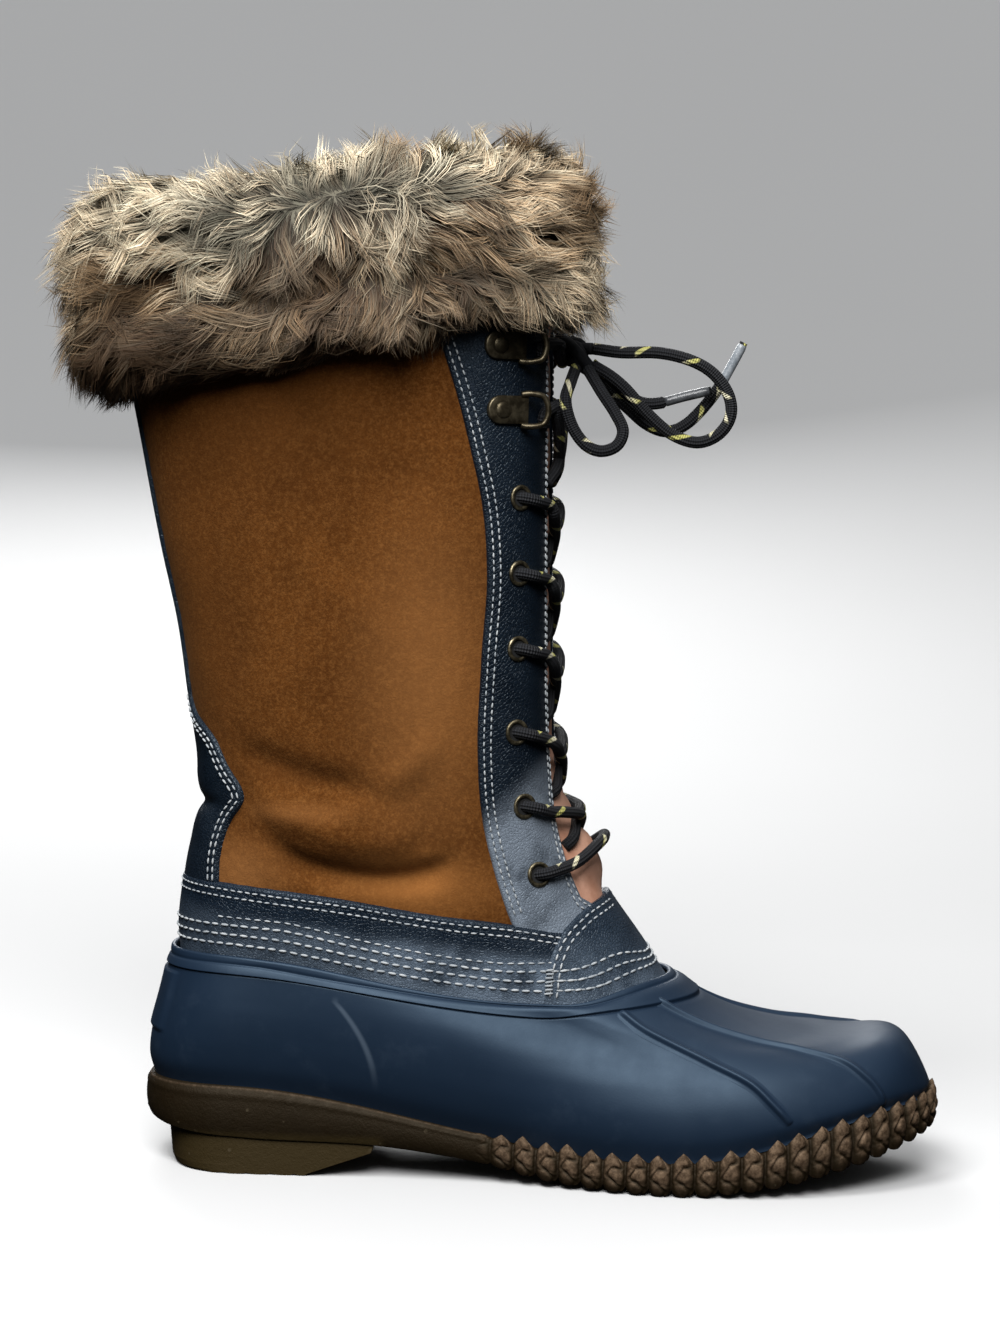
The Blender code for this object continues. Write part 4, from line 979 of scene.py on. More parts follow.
# Shaft.
def make_suede():
    low, creased, high = (57.0, 96.0, 12), (98.0, 160.0, 63), (163.0, COLLAR_HEIGHT, 50)
    z = np.concatenate([np.linspace(*part) for part in (low, creased, high)])[None, :]
    u_edge = u_at_width(np.interp(z, *np.array(THROAT).T), z)
    outer = u_edge * np.linspace(1.0, 0.0, 84)[:, None]
    walk = np.concatenate([outer, 2.0 - outer[-2::-1]], axis=0)
    heights = np.broadcast_to(z, walk.shape)
    points, normals = skin(np.mod(walk, 2.0), heights, 0.0)
    grain = 0.12 * np.sin(points[..., 0] * 0.9 + points[..., 2] * 0.31) * np.sin(points[..., 2] * 0.57)
    points = points + normals * grain[..., None]
    obj = grid("suede_shaft", points, False, SUEDE)
    obj.data.flip_normals()
    wall = thickened(obj, SUEDE_WALL)
    obj.data.materials.append(LINING)
    wall.material_offset = 1
    keep(obj, "upper")


def make_eyestays():
    z = np.concatenate([[84.0, 88.0], np.linspace(91.0, 160.0, 120), np.linspace(162.0, 334.0, 90)])[None, :]
    rear = u_at_x(along(EYESTAY_BACK, z), z)
    front = u_at_width(np.interp(z, *np.array(THROAT).T) - 0.4, z)
    share = spaced(34.0, 22)[:, None]
    for side, word in SIDES:
        u = rear + (front - rear) * share
        u = u if side < 0 else 2.0 - u
        heights = np.broadcast_to(z, u.shape)
        stay = trim(f"eyestay_{word}_leather", u, heights, ("left", "right"), STAY_RISE, NAVY)
        if side < 0:
            stay.data.flip_normals()
        keep(stay, f"eyestay_{word}")
        show = (z[0] > 93) & (z[0] < 322)
        for line_u, distance in ((rear, -2.2), (rear, -4.6), (front, 2.0), (front, 4.2)):
            walk = line_u[0][show]
            walk = walk if side < 0 else 2.0 - walk
            seam(walk, z[0][show], STAY_RISE, -side * distance, 2.5, 1.9, 0.32, 0.15)


def make_counter():
    z = np.concatenate([np.linspace(99.0, 170.0, 60), np.linspace(172.0, 334.0, 50)])
    edge_x = along(COUNTER_EDGE, z)
    ring_back = np.interp(z, [ring.back_z for ring in LEATHER_RINGS], [ring.back for ring in LEATHER_RINGS])
    edge_x = np.where(z > 166, ring_back + STAY_DEPTH, np.maximum(edge_x, ring_back + STAY_DEPTH))
    half = u_at_x(edge_x, z)[None, :]
    share = spaced(40.0, 30)[:, None] * 2.0 - 1.0
    u = np.mod(half * -share, 2.0)
    obj = trim("heel_counter", u, np.broadcast_to(z[None, :], u.shape), ("left", "right"), STAY_RISE, NAVY)
    keep(obj, "back_stay")
    show = (z > 102) & (z < 168)
    for side, walk in both_sides(half[0][show]):
        for distance in (2.0, 4.2):
            seam(walk, z[show], STAY_RISE, -side * distance, 2.9, 2.3, 0.36)


def band_top_z(u):
    """Height of the ankle band's top edge at each u."""
    height = np.full(np.shape(u), 96.0)
    for _ in range(12):
        x = leather(u, level_at(u, height))[..., 0]
        height = along(BAND_TOP, x)
    return height


def rim_z(u):
    """Height of the top of the rubber's rim beside the leather at u."""
    walk = np.linspace(0.0, 1.0, 201)
    rim = shell(walk, np.full(walk.shape, len(SHELL_RINGS) - 1.0))
    spot = leather(u, level_at(u, np.full(np.shape(u), 72.0)))
    return np.interp(spot[..., 0], rim[:, 0], rim[:, 2]) + 1.3


RIM_ROWS = (3.2, 3.3)  # first row above the rim, and the step to the next
FINE_ROW_FROM = 0.2  # in u from the back
FINE_ROW = 2.85  # its place among the rows


def rim_row(u, row, share=1.0):
    """Height of a row of stitches over the rubber's rim."""
    return rim_z(u) + (RIM_ROWS[0] + RIM_ROWS[1] * row) * share


def make_ankle_band():
    reach = float(u_at_x(144.8, 78.0)) + 0.06
    walk = np.linspace(-reach, reach, 300)
    top = band_top_z(np.mod(walk, 2.0))[:, None]
    share = np.concatenate([np.linspace(0.0, 0.94, 30), [0.965, 0.985, 1.0]])[None, :]
    z = 57.0 + (top - 57.0) * share
    u = np.broadcast_to(np.mod(-walk, 2.0)[:, None], z.shape)
    keep(trim("ankle_band_leather", u, z, ("high",), BAND_RISE, NAVY_BAND), "ankle_band")
    line_u = np.mod(-walk, 2.0)
    for distance in (2.2, 4.7):
        seam(line_u, top[:, 0] - distance, BAND_RISE, 0.0, 2.9, 2.2, 0.33, 0.15)
    for k in range(3):
        seam(line_u, rim_row(line_u, k), BAND_RISE, 0.0, 3.9, 3.1, 0.46, 0.22)
    for part in (walk[walk < -FINE_ROW_FROM], walk[walk > FINE_ROW_FROM]):
        line_u = np.mod(-part, 2.0)
        seam(line_u, rim_row(line_u, FINE_ROW), BAND_RISE, 0.0, 3.5, 2.5, 0.32, 0.15)


BAR_TACK = (143.4, 147.0, 67.5)  # from x, to x, lowest z


def make_throat_piece():
    z = np.concatenate([np.linspace(56.0, 84.0, 26), np.linspace(84.6, 98.8, 44)])
    left = np.minimum(u_at_x(along(THROAT_EDGE, z), z)[None, :], 0.9995)
    share = spaced(60.0, 90, (0.0, 0.3, 0.7, 1.3))[:, None]
    u = left + (2.0 - 2.0 * left) * share
    heights = np.broadcast_to(z[None, :], u.shape)
    obj = trim("throat_leather", u, heights, ("left", "right", "high"), THROAT_RISE, NAVY_THROAT)
    obj.data.flip_normals()
    keep(obj, "throat_piece")
    show = (z > 66) & (left[0] < 0.99)
    for side, walk in both_sides(left[0][show]):
        for distance in (2.3, 4.7):
            seam(walk, z[show], THROAT_RISE, side * distance, 3.2, 2.4, 0.36, 0.15)
    first = float(u_at_x(148.5, 70.0))
    walk = np.linspace(first, 2.0 - first, 120)
    closer = 1.0 - 0.35 * soft(1.0 - np.abs(walk - 1.0), 0.86, 0.97)
    for k in range(3):
        seam(walk, rim_row(walk, k, closer), THROAT_RISE, 0.0, 3.7, 2.95, 0.46, 0.22)
    for side in (-1, 1):
        for k in range(7):
            height = BAR_TACK[2] + 1.3 * k
            x = np.linspace(*BAR_TACK[:2], 6)
            walk = u_at_x(x, np.full(6, height))
            walk = walk if side < 0 else 2.0 - walk
            seam(walk, np.full(6, height), TACK_RISE, 0.0, 3.6, 3.2, 0.42, 0.25)


def make_tongue():
    heights = np.concatenate([np.linspace(92, 150, 36), np.linspace(155, 330, 24)])
    shares = np.linspace(-1.0, 1.0, 41)
    half = eased(heights, (95, 130), (25.0, 28.0))
    edge = 1.0 - u_at_width(half, heights)
    u = 1.0 + shares[:, None] * edge[None, :]
    z = np.broadcast_to(heights[None, :], u.shape)
    v = level_at(u, z)
    points = leather(u, v)
    normals = outward(leather, u, v)
    bulge = eased(heights, (94, 112, 124, 150), (0.0, 7.4, 4.4, 1.6))[None, :]
    middle = np.clip(1.0 - np.abs(points[..., 1]) / 15.0, 0.0, 1.0) ** 0.7
    crease = 0.5 * np.sin(points[..., 2] * 0.55 + 2.0 * np.sin(points[..., 1] * 0.2)) * middle
    points = points + normals * (bulge * middle - SUEDE_WALL - 3 * GAP + crease)[..., None]
    obj = grid("tongue_leather_sheet", points, False, TONGUE)
    obj.data.flip_normals()
    thickened(obj, TONGUE_WALL)
    keep(obj, "tongue")


# Rubber lower.
LIP_LINE = (6.62, 0.6)  # v of the lip's lower edge at the sides, and its rise over the instep
BEAD = 1.9
RIM_ROUND = 0.9


def lip_line(u):
    return LIP_LINE[0] + LIP_LINE[1] * soft(1.0 - np.abs(u - 1.0), 0.62, 0.78)


def make_shell():
    """The moulded lower: body, raised lip with a bead at its rim, turned over to the inside."""
    u = np.linspace(0.0, 2.0, 360, endpoint=False)[:, None]
    top = len(SHELL_RINGS) - 1.0
    edge = lip_line(u)
    near_top = shell(u, np.full(u.shape, top)) - shell(u, np.full(u.shape, top - 0.5))
    per_mm = 0.5 / np.linalg.norm(near_top, axis=2)
    depth = np.array([6.0, 4.6, 4.0, 3.6, 3.2, 2.9, 2.6, 2.3, 1.9, 1.4, 0.8, 0.3, 0.0])[None, :]
    low = -0.1 + (edge - 0.08 + 0.1) * np.linspace(0.0, 1.0, 64)[None, :]
    step = edge + np.array([-0.05, -0.025, 0.0, 0.02, 0.04, 0.06, 0.09])[None, :]
    upper = top - depth * per_mm
    first = np.maximum(upper[:, :1], step[:, -1:] + 0.02)
    upper = np.maximum(upper, first + 0.004 * np.arange(depth.size)[None, :])
    middle = step[:, -1:] + (first - step[:, -1:]) * np.array([0.3, 0.65])[None, :]
    v = np.concatenate([low, step, middle, upper], axis=1)
    points = shell(u, v)
    normals = outward(shell, u, v)
    below_rim = (top - v) / per_mm
    raised = soft(v - edge, 0.0, 0.05) * (0.9 - soft(below_rim, 6.0, 1.0))
    raised = raised - 0.3 * bell(v - edge + 0.03, 0.03)
    raised = raised - 0.4 * bell(below_rim - BEAD - 0.4, 0.40)
    raised = raised + 0.15 * soft(below_rim, BEAD, BEAD - 0.8)
    back = np.minimum(u, 2.0 - u)
    patch = soft(back, 0.083, 0.074) * soft(v, 2.45, 2.6) * soft(v, 6.25, 6.1)
    points = points + normals * (raised + 1.1 * patch)[..., None]
    up = unit(points[:, -1] - points[:, -3])
    out = normals[:, -1]
    rows = [points]
    for angle in np.linspace(0.0, math.pi, 7)[1:]:
        spot = points[:, -1] + out * RIM_ROUND * (math.cos(angle) - 1.0) + up * RIM_ROUND * math.sin(angle)
        rows.append(spot[:, None])
    inner = rows[-1][:, 0] - up * 9.0
    rows.append(inner[:, None])
    keep(grid("rubber_lower", np.concatenate(rows, axis=1), True, RUBBER), "rubber_shell")


def vamp_point(x, y):
    u = np.linspace(0.5, 1.5, 241)[:, None]
    v = np.linspace(0.3, len(SHELL_RINGS) - 1.0, 121)[None, :]
    points = shell(u, v)
    away = (points[..., 0] - x) ** 2 + (points[..., 1] - y) ** 2
    best = np.unravel_index(np.argmin(away), points.shape[:2])
    return u[best[0], 0], v[0, best[1]]


def make_ribs():
    """The moulded ribs on the vamp, as beads that run out at both ends."""
    for k, route in enumerate(RIBS):
        pairs = np.array([vamp_point(x, y) for x, y in route])
        line = smooth_route(np.column_stack([pairs, np.zeros(len(pairs))]), 70)[:, :2]
        base = shell(line[:, 0], line[:, 1])
        normal = outward(shell, line[:, 0], line[:, 1])
        ahead = unit(np.gradient(base, axis=0))
        side = np.cross(normal, ahead)
        share = np.linspace(0.0, 1.0, len(line))
        size = np.clip(np.minimum(share / 0.04, (1.0 - share) / 0.10), 0.0, 1.0) ** 0.5
        across = np.array([-3.0, -2.3, -1.7, -1.25, -0.85, -0.4, 0.0, 0.4, 0.85, 1.25, 1.7, 2.3, 3.0])
        rise = np.array([-0.3, 0.05, 0.06, 0.45, 1.1, 1.5, 1.6, 1.5, 1.1, 0.45, 0.06, 0.05, -0.3])
        points = base[:, None] + side[:, None] * across[None, :, None]
        lift = rise[None, :] * size[:, None] - 0.12 * (1 - size[:, None])
        points = points + normal[:, None] * lift[..., None]
        rib = grid(f"vamp_rib_{k + 1}", points, False, RUBBER)
        keep(rib)


# Sole.
LINK_STEPS = 16


def sole_walk():
    """The sole's edge, evenly walked, with each point's place in its link (0 to 1) and whether it has one."""
    dense = np.linspace(0.0, 1.0, 2001)
    line = ring_point(SOLE_EDGE, dense, SHELL_TURNS)[:, :2]
    run = run_along(line)
    first = run[np.argmax(line[:, 0] > LINK_START)]
    links = round((run[-1] - first) / LINK_PITCH)
    plain = np.linspace(0.0, first, 60, endpoint=False)
    linked = np.linspace(first, run[-1], links * LINK_STEPS + 1)
    half = np.interp(np.concatenate([plain, linked]), run, dense)
    count = np.arange(len(linked))
    phase = np.concatenate([np.zeros(60), (count % LINK_STEPS) / LINK_STEPS])
    number = np.concatenate([np.zeros(60), count // LINK_STEPS + 1])
    grown = np.concatenate([np.zeros(60), soft(count / LINK_STEPS, 0.0, 2.0)])
    u = np.concatenate([half, 2.0 - half[-2:0:-1]])
    x, y = ring_point(SOLE_EDGE, u, SHELL_TURNS)[:, :2].T
    ahead = unit(np.stack([np.roll(x, -1) - np.roll(x, 1), np.roll(y, -1) - np.roll(y, 1)], axis=1))
    mirrored = [np.concatenate([a, a[-2:0:-1]]) for a in (phase, grown, number)]
    return x, y, ahead[:, 1], -ahead[:, 0], mirrored[0], mirrored[1], mirrored[2]


def make_band():
    """The band round the sole: plain at the heel, knotted links round the forefoot."""
    x, y, out_x, out_y, phase, grown, number = sole_walk()
    top = ring_level(SOLE_EDGE, x / SOLE_LENGTH)
    under = np.maximum(along(BAND_UNDER, x), 0.35)
    lump = np.sin(math.pi * phase) ** 0.45
    tooth = np.clip(1.0 - np.abs(phase - 0.46 - 0.05 * np.sin(number * 3.3)) / 0.42, 0.0, 1.0) ** 0.75
    jitter = 0.35 * np.sin(number * 2.7) + 0.3 * np.sin(number * 5.1 + 1.0)
    heights = np.concatenate([[0.0, 0.02, 0.05], np.linspace(0.09, 0.92, 26), [0.95, 0.98, 1.0]])
    swell = np.sin(math.pi * np.clip(0.08 + 0.84 * heights, 0, 1)) ** 0.4
    rows = [np.stack([x - 8.0 * out_x, y - 8.0 * out_y, under + 3.0], axis=1)]
    relief_shadings = [np.zeros(len(x))]
    rise = top + grown * (4.0 * tooth + jitter - 0.9)
    dip = under + grown * 2.0 * (1.0 - lump)
    for share, full in zip(heights, swell):
        turn = 0.5 + 0.30 * math.sin(2 * math.pi * (1.35 * share + 0.1)) + 0.06 * np.sin(number * 1.9)
        crease = np.exp(-(((phase - turn) / 0.075) ** 2))
        knots = 0.75 + 0.25 * abs(math.sin(math.pi * (2.6 * share + 0.15))) ** 0.6
        wave = 2.7 * lump * knots - 1.15 * crease * lump - 1.0
        plain = (1.0 - grown) * (0.9 * full - 0.35 + 0.35 * math.exp(-(((share - 0.86) / 0.08) ** 2)))
        out = -2.4 * (1 - full) - 0.2 + grown * wave * (0.35 + 0.65 * full) + plain
        rows.append(np.stack([x + out * out_x, y + out * out_y, dip + (rise - dip) * share], axis=1))
        # painted light: lighter on the links' crests, darker in their gaps and low down; the plain band
        # lighter at its top edge
        link_shading = np.clip((wave + 0.9) / 2.3, 0, 1) * (0.55 + 0.45 * float(soft(share, 0.12, 0.45)))
        plain_shading = 0.38 + 0.25 * float(soft(share, 0.93, 0.98))
        relief_shadings.append(grown * link_shading + (1 - grown) * plain_shading)
    rows.append(np.stack([x - 4.2 * out_x, y - 4.2 * out_y, top + 0.6 - 0.9 * grown], axis=1))
    relief_shadings.append(np.zeros(len(x)))
    band = grid("sole_band", np.stack(rows, axis=1), True, GUM)
    add_relief_shading(band, np.stack(relief_shadings, axis=1))
    keep(band, "outsole")


def add_relief_shading(obj, values):
    layer = obj.data.attributes.new("relief_shading", "FLOAT", "POINT")
    layer.data.foreach_set("value", np.asarray(values, float).ravel())


def block_mesh(name, back, front, heights, inset, grooves, bottom):
    """A lugged block under the sole: back and front are its ends by height, bottom its lowest z by x."""
    line = ring_point(SOLE_EDGE, np.linspace(0.0, 1.0, 1201), SHELL_TURNS)
    ahead = np.gradient(line, axis=0)
    flat = line[:, :2] - inset * unit(np.stack([ahead[:, 1], -ahead[:, 0]], axis=1))
    far = ring_point(SOLE_EDGE, 2.0 - np.linspace(0.0, 1.0, 1201), SHELL_TURNS)[:, 1]
    far = far - inset * np.sign(far)
    rows = []
    for z, a, b in zip(heights, back, front):
        xs = a + (b - a) * (0.5 - 0.5 * np.cos(np.linspace(0.0, math.pi, 90)))
        shift = (a - flat[0, 0]) * np.exp(-(xs - a) / 14.0)
        near_y = np.interp(xs - shift, flat[:, 0], flat[:, 1])
        far_y = np.interp(xs - shift, flat[:, 0], far)
        lowest = bottom(xs)
        for groove in grooves:
            lowest = lowest + 1.8 * soft(np.abs(xs - groove), 2.0, 1.3)
        zs = np.maximum(z, lowest)
        near = np.stack([xs, near_y, zs], axis=1)
        other = np.stack([xs, far_y, zs], axis=1)
        rows.append(np.concatenate([near, other[::-1]]))
    points = np.stack(rows, axis=1)
    count, columns = points.shape[:2]
    faces = grid_faces(count, columns, True)
    half = count // 2
    for i in range(half - 1):
        a, b = i * columns, (i + 1) * columns
        c, d = (count - 2 - i) * columns, (count - 1 - i) * columns
        faces.append((a, d, c, b))
    block = keep(add_mesh(name, points.reshape(-1, 3), faces, GUM, smooth=False))
    add_relief_shading(block, np.full(points.shape[:2], 0.4))


HEEL_LOBE = 8.4


def heel_bottom(x):
    """The heel block's lowest edge: shallow rounded lobes."""
    return 0.9 * (1.0 - np.abs(np.sin(math.pi * (x - 15.0) / HEEL_LOBE)) ** 0.5)


def make_blocks():
    z = np.array([0.0, 0.5, 1.0, 2.0, 3.0, 6.0, 9.0, 11.5, 14.0, 16.5, 19.0])
    back = np.interp(z, (0, 0.8, 3.0, 16.0, 19.0), (12.5, 10.5, 9.5, 8.2, 8.0))
    front = np.interp(z, (0, 1.0, 9.0, 19.0), (60.0, 62.0, 84.0, 88.0))
    block_mesh("heel_block", back, front, z, 1.8, (), heel_bottom)
    z = np.array([0.0, 0.5, 1.5, 3.0, 5.0, 8.0, 11.0])
    under = ((120, 9), (144, 3.0), (156, 0), (207, 0), (225, 3.0), (246, 8.0), (264, 13))
    back = np.interp(z, (0, 3, 9, 11), (154, 144, 121, 120))
    front = np.interp(z, (0, 3, 8, 11), (208, 225, 246, 256))
    xs, zs = np.array(under, float).T
    block_mesh("tread_block", back, front, z, 9.0, LUG_GROOVES, lambda x: np.interp(x, xs, zs))


def make_sole_floor():
    """The waist and forefoot's plain underside between the blocks."""
    line = ring_point(SOLE_EDGE, np.linspace(0.0, 1.0, 160), SHELL_TURNS)
    other = ring_point(SOLE_EDGE, 2.0 - np.linspace(0.0, 1.0, 160), SHELL_TURNS)
    share = np.linspace(0.02, 0.98, 24)[None, :, None]
    points = line[:, None] * (1 - share) + other[:, None] * share
    points[..., 2] = along(BAND_UNDER, points[..., 0]) + 2.0
    floor = keep(grid("sole_underside", points, False, GUM))
    add_relief_shading(floor, np.full(points.shape[:2], 0.38))


# Hardware.
def surface_frame(x, height, side, lift):
    u = float(u_at_x(x, height))
    u = u if side < 0 else 2.0 - u
    points, normals = skin(np.array([u]), np.array([float(height)]), np.array([lift]))
    out = Vector(normals[0])
    ahead, _ = skin(np.array([u - 0.01 * side]), np.array([float(height)]), np.array([lift]))
    forward = Vector(ahead[0] - points[0])
    forward = (forward - out * forward.dot(out)).normalized()
    up = forward.cross(out) if side > 0 else out.cross(forward)
    return np.array(points[0]), np.array([forward, up, out])


def make_eyelets():
    around, across = 36, 12
    a = np.linspace(0, 2 * math.pi, around, endpoint=False)[:, None]
    b = np.linspace(0, 2 * math.pi, across, endpoint=False)[None, :]
    reach = 3.75 + 0.75 * np.cos(b)
    rise = 0.65 * np.sin(b)
    ring = np.stack([reach * np.cos(a), reach * np.sin(a), rise + 0 * a], axis=-1)
    faces = grid_faces(around, across, True, True)
    hole = [tuple(range(around))]
    disc = np.stack([3.5 * np.cos(a[:, 0]), 3.5 * np.sin(a[:, 0]), np.zeros(around)], axis=-1)
    for side, word in SIDES:
        turn = faces if side > 0 else [face[::-1] for face in faces]
        for number, (x, height) in enumerate(EYELETS, 1):
            spot, axes = surface_frame(x, height, side, 1.75)
            name = f"{word}_{number}"
            brass = add_mesh(f"brass_ring_{name}", spot + ring.reshape(-1, 3) @ axes, turn, BRASS)
            keep(brass, f"eyelet_{name}")
            # the shade inside the hole, painted on a dark disc
            keep(add_mesh(f"eyelet_hole_shade_{name}", spot - 0.12 * axes[2] + disc @ axes, hole, HOLE_SHADE))


HOOK_LOOP = (
    (5.4, -5.2, 0.6), (7.2, -5.6, 1.4), (10.5, -5.4, 2.6), (13.2, -4.2, 3.2), (14.4, 0.0, 3.5),
    (13.2, 4.2, 3.2), (10.5, 5.4, 2.6), (7.2, 5.6, 1.4), (5.4, 5.2, 0.6),
)
HOOK_WIRE = 1.05
RIVET = ((3.0, 0.9), (2.9, 1.25), (2.4, 1.6), (1.5, 1.85), (0.6, 1.95), (0.0, 1.96))  # radius and height


def make_hooks():
    """Each speed hook: a plate with a round rear end, a domed rivet and a D loop."""
    outline = [(8.2, -4.9), (8.2, 4.9), (-2.4, 4.9)]
    for k in range(1, 14):
        angle = math.pi / 2 + math.pi * k / 14
        outline.append((-2.4 + 4.9 * math.cos(angle), 4.9 * math.sin(angle)))
    outline.append((-2.4, -4.9))
    outline = np.array(outline)
    middle = np.array([2.0, 0.0])
    rows = []
    for size, rise in ((1.0, -0.5), (1.0, 0.6), (0.975, 0.85), (0.93, 1.0), (0.5, 1.0), (0.0, 1.0)):
        flat = middle + (outline - middle) * size
        rows.append(np.column_stack([flat, np.full(len(flat), rise)]))
    plate = np.stack(rows, axis=1)
    angle = np.linspace(0, 2 * math.pi, 24, endpoint=False)
    dome = [
        np.stack([-1.6 + r * np.cos(angle), r * np.sin(angle), np.full(24, h)], axis=1)
        for r, h in RIVET
    ]
    dome = np.stack(dome, axis=1)
    pieces = [(block.reshape(-1, 3), grid_faces(*block.shape[:2], True)) for block in (plate, dome)]
    pieces.append(sweep(smooth_route(HOOK_LOOP, 48), HOOK_WIRE, 12))
    verts, faces = joined(pieces)
    for side, word in SIDES:
        turn = faces if side > 0 else [face[::-1] for face in faces]
        for number, (x, height) in enumerate(HOOKS, 1):
            spot, axes = surface_frame(x, height, side, 2.0)
            hook = add_mesh(f"speed_hook_{word}_{number}", spot + verts @ axes, turn, DARK_BRASS)
            keep(hook, f"hook_{word}_{number}")


# Laces over the throat.
def front_spot(height, y, lift):
    u = np.linspace(0.6, 1.4, 801)
    v = level_at(u, np.full(u.shape, float(height)))
    line = leather(u, v)
    k = int(np.argmin(np.abs(line[:, 1] - y)))
    return line[k] + outward(leather, u[k : k + 1], v[k : k + 1])[0] * lift


def tongue_bulge(height):
    return float(eased(height, (94, 112, 124, 150), (0.0, 5.4, 3.0, 0.0)))


CROSS_DROPS = (26.0, 26.0, 28.0, 25.0, 16.0)
LACE_LIFT = TRIM_OUT + CORD / 2 + 0.2


def on_stay(x, height, side, lift):
    return surface_frame(x, height, side, lift)[0]


def crossing_route(x, height, side, drop):
    """Out of an eyelet, forward over the eyestay's edge, and down under the other edge."""
    middle, end = height - 0.55 * drop, height - 0.84 * drop
    return (
        on_stay(x - 0.6, height, side, -1.2),
        on_stay(x + 0.4, height, side, 1.6),
        on_stay(x + 3.2, height - 1.0, side, LACE_LIFT + 0.1),
        on_stay(x + 7.0, height - 2.8, side, LACE_LIFT - 0.2),
        front_spot(height - 0.22 * drop, side * 18.5, LACE_LIFT + 0.3),
        front_spot(height - 0.38 * drop, side * 9.5, 3.2 + tongue_bulge(height - 0.38 * drop)),
        front_spot(middle, 0.0, (2.6 if side < 0 else 0.8) + tongue_bulge(middle)),
        front_spot(end, -side * 11.5, 0.4 + 0.5 * tongue_bulge(end)),
        front_spot(end - 2.0, -side * 15.5, -0.4),
    )


def make_crossings():
    for k, drop in enumerate(CROSS_DROPS):
        x, height = EYELETS[k]
        for side, word in SIDES:
            line = smooth_route(crossing_route(x, height, side, drop), 64)
            obj = cord_mesh(f"lace_leg_{word}_{k + 1}", line, LACE)
            keep(obj, *([f"lace_cross_{k + 1}"] if side < 0 else []))
    x, height = EYELETS[-1]
    legs = [
        (
            on_stay(x - 0.6, height, side, -1.2),
            on_stay(x + 0.4, height, side, 1.6),
            on_stay(x + 3.4, height + 0.6, side, LACE_LIFT + 0.3),
            front_spot(height + 2.5, side * 18.5, LACE_LIFT + 1.2),
            front_spot(height + 5.5, side * 8.0, 9.6),
        )
        for side, _ in SIDES
    ]
    route = [*legs[0], front_spot(height + 6.0, 0.0, 10.4), *legs[1][::-1]]
    keep(cord_mesh("lace_lowest_bar", smooth_route(route, 110), LACE), "lace_bar")
    x, height = HOOKS[1]
    for side, word in SIDES:
        route = (
            on_stay(x + 10.5, height - 5.5, side, 2.9),
            on_stay(x + 10.2, height - 1.0, side, 3.6),
            on_stay(x + 12.4, height + 2.2, side, 5.4),
            front_spot(height + 0.8, side * 19.5, LACE_LIFT + 1.0),
            front_spot(height - 5.0, side * 14.0, LACE_LIFT + 0.8),
            front_spot(height - 13.0, side * 5.0, 4.4),
            front_spot(height - 20.0, -side * 6.0, 3.4),
            front_spot(height - 25.0, -side * 14.5, 1.0),
        )
        obj = cord_mesh(f"lace_hook_leg_{word}", smooth_route(route, 60), LACE)
        keep(obj, *(["lace_cross_hooks"] if side < 0 else []))
    x, height = HOOKS[0]
    route = []
    for side in (-1, 1):
        leg = [
            on_stay(x + 10.5, height - 4.5, side, 2.9),
            on_stay(x + 10.4, height + 0.5, side, 4.0),
            on_stay(x + 13.2, height + 1.0, side, 5.6),
            front_spot(height - 1.0, side * 18.5, LACE_LIFT + 1.4),
            front_spot(height - 3.5, side * 9.0, LACE_LIFT + 1.0),
        ]
        route += leg if side < 0 else [front_spot(height - 4.5, 0.0, 5.0), *leg[::-1]]
    keep(cord_mesh("lace_over_hooks", smooth_route(route, 100), LACE), "lace_top")


# Fur cuff.
HEM_RISE = (-11.0, 17.0)
TOP_RISE = (-13.0, 0.0)
FUR_PROFILE = (
    (2.1, 290, 0), (6, 286, 0), (11.5, 289, 0.1), (14.5, 299, 0.3), (13.5, 309, 0.5), (11.5, 316, 0.6),
    (14.5, 327, 0.8), (15.0, 338, 0.9), (11.5, 347.5, 1), (5, 354, 1), (-2, 353.5, 1), (-5.5, 346, 1),
    (-4.5, 340.5, 0.2), (2.1, 340.0, 0.1),
)
FUR_END = 2.0 / 36  # the cuff stops this far from the front, in u

